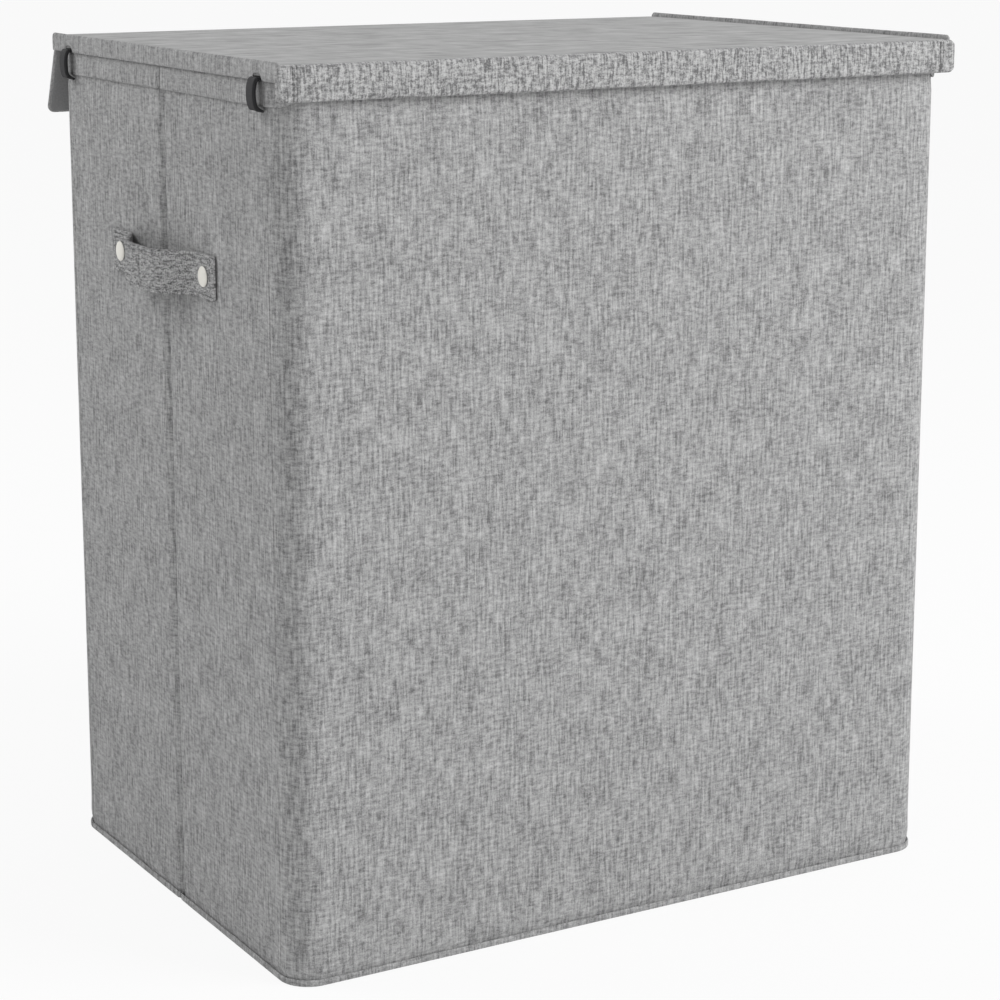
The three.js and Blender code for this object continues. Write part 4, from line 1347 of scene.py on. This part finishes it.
class HAMPER_OT_base(bpy.types.Operator):
    """Make the base cloth tray and the loose base board"""
    bl_idname = "hamper.base"
    bl_label = "Base"

    def execute(self, context):
        half_x, half_y, high = BASE[1]

        def place(x, y, height):
            sag = 0.15 * MM * (1 + ripple(x, y, 14.0, 3.5)) * (height < 0.05 * MM)
            return x, y, height + sag * (np.abs(x) < half_x - 2 * MM)

        layers = [
            (4 * MM, 1 * MM), (1.3 * MM, 1.05 * MM), (1.05 * MM, 1.4 * MM), (1.0 * MM, high - 0.3 * MM),
            (0.7 * MM, high), (0.3 * MM, high), (0, high - 0.3 * MM), (0, 0.6 * MM), (0.25 * MM, 0.1 * MM),
            (0.8 * MM, 0.0), (4 * MM, 0.0)]
        tray = plate(
            "base_cloth_tray", half_x, half_y, 14 * MM, layers, place, "linen_walls", "wall_linen", 4,
            10 * MM)
        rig.ride(tray, "root")
        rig.replaces(tray, "base_cloth")
        flatten(tray)
        low, thick = BASE_BOARD[0].z, BASE_BOARD[1].z - BASE_BOARD[0].z
        edge = [
            (4 * MM, 0.0), (0.5 * MM, 0.0), (0.1 * MM, 0.3 * MM), (0, thick / 2),
            (0.1 * MM, thick - 0.3 * MM), (0.6 * MM, thick), (4 * MM, thick)]
        board = plate(
            "base_board_panel", BASE_BOARD[1].x, BASE_BOARD[1].y, 13 * MM, edge,
            lambda x, y, h: (x, y, low + h), "cotton_bags", "stiff_board", 1, 12 * MM)
        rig.ride(board, "root")
        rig.replaces(board, "base_board")
        flatten(board)
        return {"FINISHED"}


class HAMPER_OT_inner_parts(bpy.types.Operator):
    """Finish the boards, foam and washers that the frame carries"""
    bl_idname = "hamper.inner_parts"
    bl_label = "Boards, foam and washers"

    def execute(self, context):
        finishes = {"board": "brown_board", "foam": "foam_pad", "washer": "steel_washers"}
        for name, piece in frame["nodes"].items():
            kind = name.split("_")[-1]
            if kind in finishes:
                piece.data.materials.clear()
                piece.data.materials.append(finish(finishes[kind]))
        return {"FINISHED"}


class HAMPER_OT_stage(bpy.types.Operator):
    """Set the floor, the backdrop, the soft lamps and the camera"""
    bl_idname = "hamper.stage"
    bl_label = "Stage"

    def execute(self, context):
        scene = context.scene
        scene.view_settings.view_transform = "Standard"
        self.floor(scene)
        self.world(scene)
        self.lamp("key", (2.0, -2.3, 2.15), 1.7, 72.0)
        self.lamp("fill", (-2.0, 1.5, 2.3), 1.2, 21.0)
        view = bpy.data.cameras.new("camera")
        view.sensor_width = 36.0
        view.lens = 94.19
        view.shift_y = -0.08
        camera = bpy.data.objects.new("camera", view)
        camera.location = (-1.029834, -1.764358, 0.767859)
        camera.rotation_euler = (math.radians(90 - 11.63), 0, math.radians(-30.38))
        scene.collection.objects.link(camera)
        scene.camera = camera
        return {"FINISHED"}

    def seen_as(self, tree, share, plain, bright, output):
        """Mixes a surface or sky with a brighter one that only the camera and reflections see"""
        rays = node(tree, "ShaderNodeLightPath").outputs
        seen = maths(tree, "MAXIMUM", rays["Is Camera Ray"], rays["Is Glossy Ray"])
        values = {0: maths(tree, "MULTIPLY", seen, share), 1: plain.outputs[0], 2: bright.outputs[0]}
        both = node(tree, "ShaderNodeMixShader", values)
        tree.links.new(both.outputs[0], tree.nodes[output].inputs["Surface"])

    def floor(self, scene):
        """A pale floor that the camera sees as nearly white, with the hamper's shadow on it"""
        made = bpy.data.materials.new("floor")
        made.use_nodes = True
        tree = made.node_tree
        shader = feeds(
            tree, tree.nodes["Principled BSDF"], {"Base Color": (0.86, 0.86, 0.86, 1), "Roughness": 1.0})
        glow = node(tree, "ShaderNodeEmission", {"Strength": 1.0})
        self.seen_as(tree, 0.9, shader, glow, "Material Output")
        mesh = bpy.data.meshes.new("floor")
        reach = 30.0
        corners = [(-reach, -reach, 0), (reach, -reach, 0), (reach, reach, 0), (-reach, reach, 0)]
        mesh.from_pydata(corners, [], [(0, 1, 2, 3)])
        mesh.materials.append(made)
        ground = bpy.data.objects.new("floor", mesh)
        scene.collection.objects.link(ground)
        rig.stage(ground)

    def world(self, scene):
        """Even studio light, with a white background for the camera and for reflections"""
        scene.world = bpy.data.worlds.new("studio")
        scene.world.use_nodes = True
        tree = scene.world.node_tree
        soft = feeds(tree, tree.nodes["Background"], {"Color": (1, 1, 1, 1), "Strength": 0.52})
        white = node(tree, "ShaderNodeBackground", {"Color": (1, 1, 1, 1), "Strength": 1.0})
        self.seen_as(tree, 1.0, soft, white, "World Output")

    def lamp(self, name, place, size, power):
        made = bpy.data.lights.new(name, "AREA")
        made.size = size
        made.energy = power
        lamp = bpy.data.objects.new(name, made)
        lamp.location = place
        aim = Vector((0, 0, 0.35)) - Vector(place)
        lamp.rotation_euler = aim.to_track_quat("-Z", "Y").to_euler()
        bpy.context.scene.collection.objects.link(lamp)


OPERATORS = (
    HAMPER_OT_walls, HAMPER_OT_rims, HAMPER_OT_folds, HAMPER_OT_lid, HAMPER_OT_lip, HAMPER_OT_flap,
    HAMPER_OT_handles, HAMPER_OT_rivets, HAMPER_OT_elastics, HAMPER_OT_bags, HAMPER_OT_base,
    HAMPER_OT_inner_parts, HAMPER_OT_stage)


class HAMPER_PT_panel(bpy.types.Panel):
    """Lists the hamper's sizes, colours and making steps"""
    bl_idname = "HAMPER_PT_panel"
    bl_label = "Laundry hamper"
    bl_space_type = "VIEW_3D"
    bl_region_type = "UI"
    bl_category = "Hamper"

    def draw(self, context):
        for group in (context.scene.hamper_sizes, context.scene.hamper_colours):
            box = self.layout.box()
            for key in group.bl_rna.properties.keys():
                if key not in ("rna_type", "name"):
                    box.prop(group, key)
        column = self.layout.column(align=True)
        for operator in OPERATORS:
            column.operator(operator.bl_idname)


CLASSES = (HamperSizes, HamperColours, *OPERATORS, HAMPER_PT_panel)


def register():
    for item in CLASSES:
        bpy.utils.register_class(item)
    bpy.types.Scene.hamper_sizes = bpy.props.PointerProperty(type=HamperSizes)
    bpy.types.Scene.hamper_colours = bpy.props.PointerProperty(type=HamperColours)


def unregister():
    del bpy.types.Scene.hamper_colours
    del bpy.types.Scene.hamper_sizes
    for item in reversed(CLASSES):
        bpy.utils.unregister_class(item)


def main():
    register()
    for operator in OPERATORS:
        group, name = operator.bl_idname.split(".")
        getattr(getattr(bpy.ops, group), name)()
    visual = [[float(value) for value in corner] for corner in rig.bounds()]
    with open("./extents.json", "w") as out:
        json.dump({"cad": CAD_BOX, "visual": visual}, out)


if __name__ == "__main__":
    main()
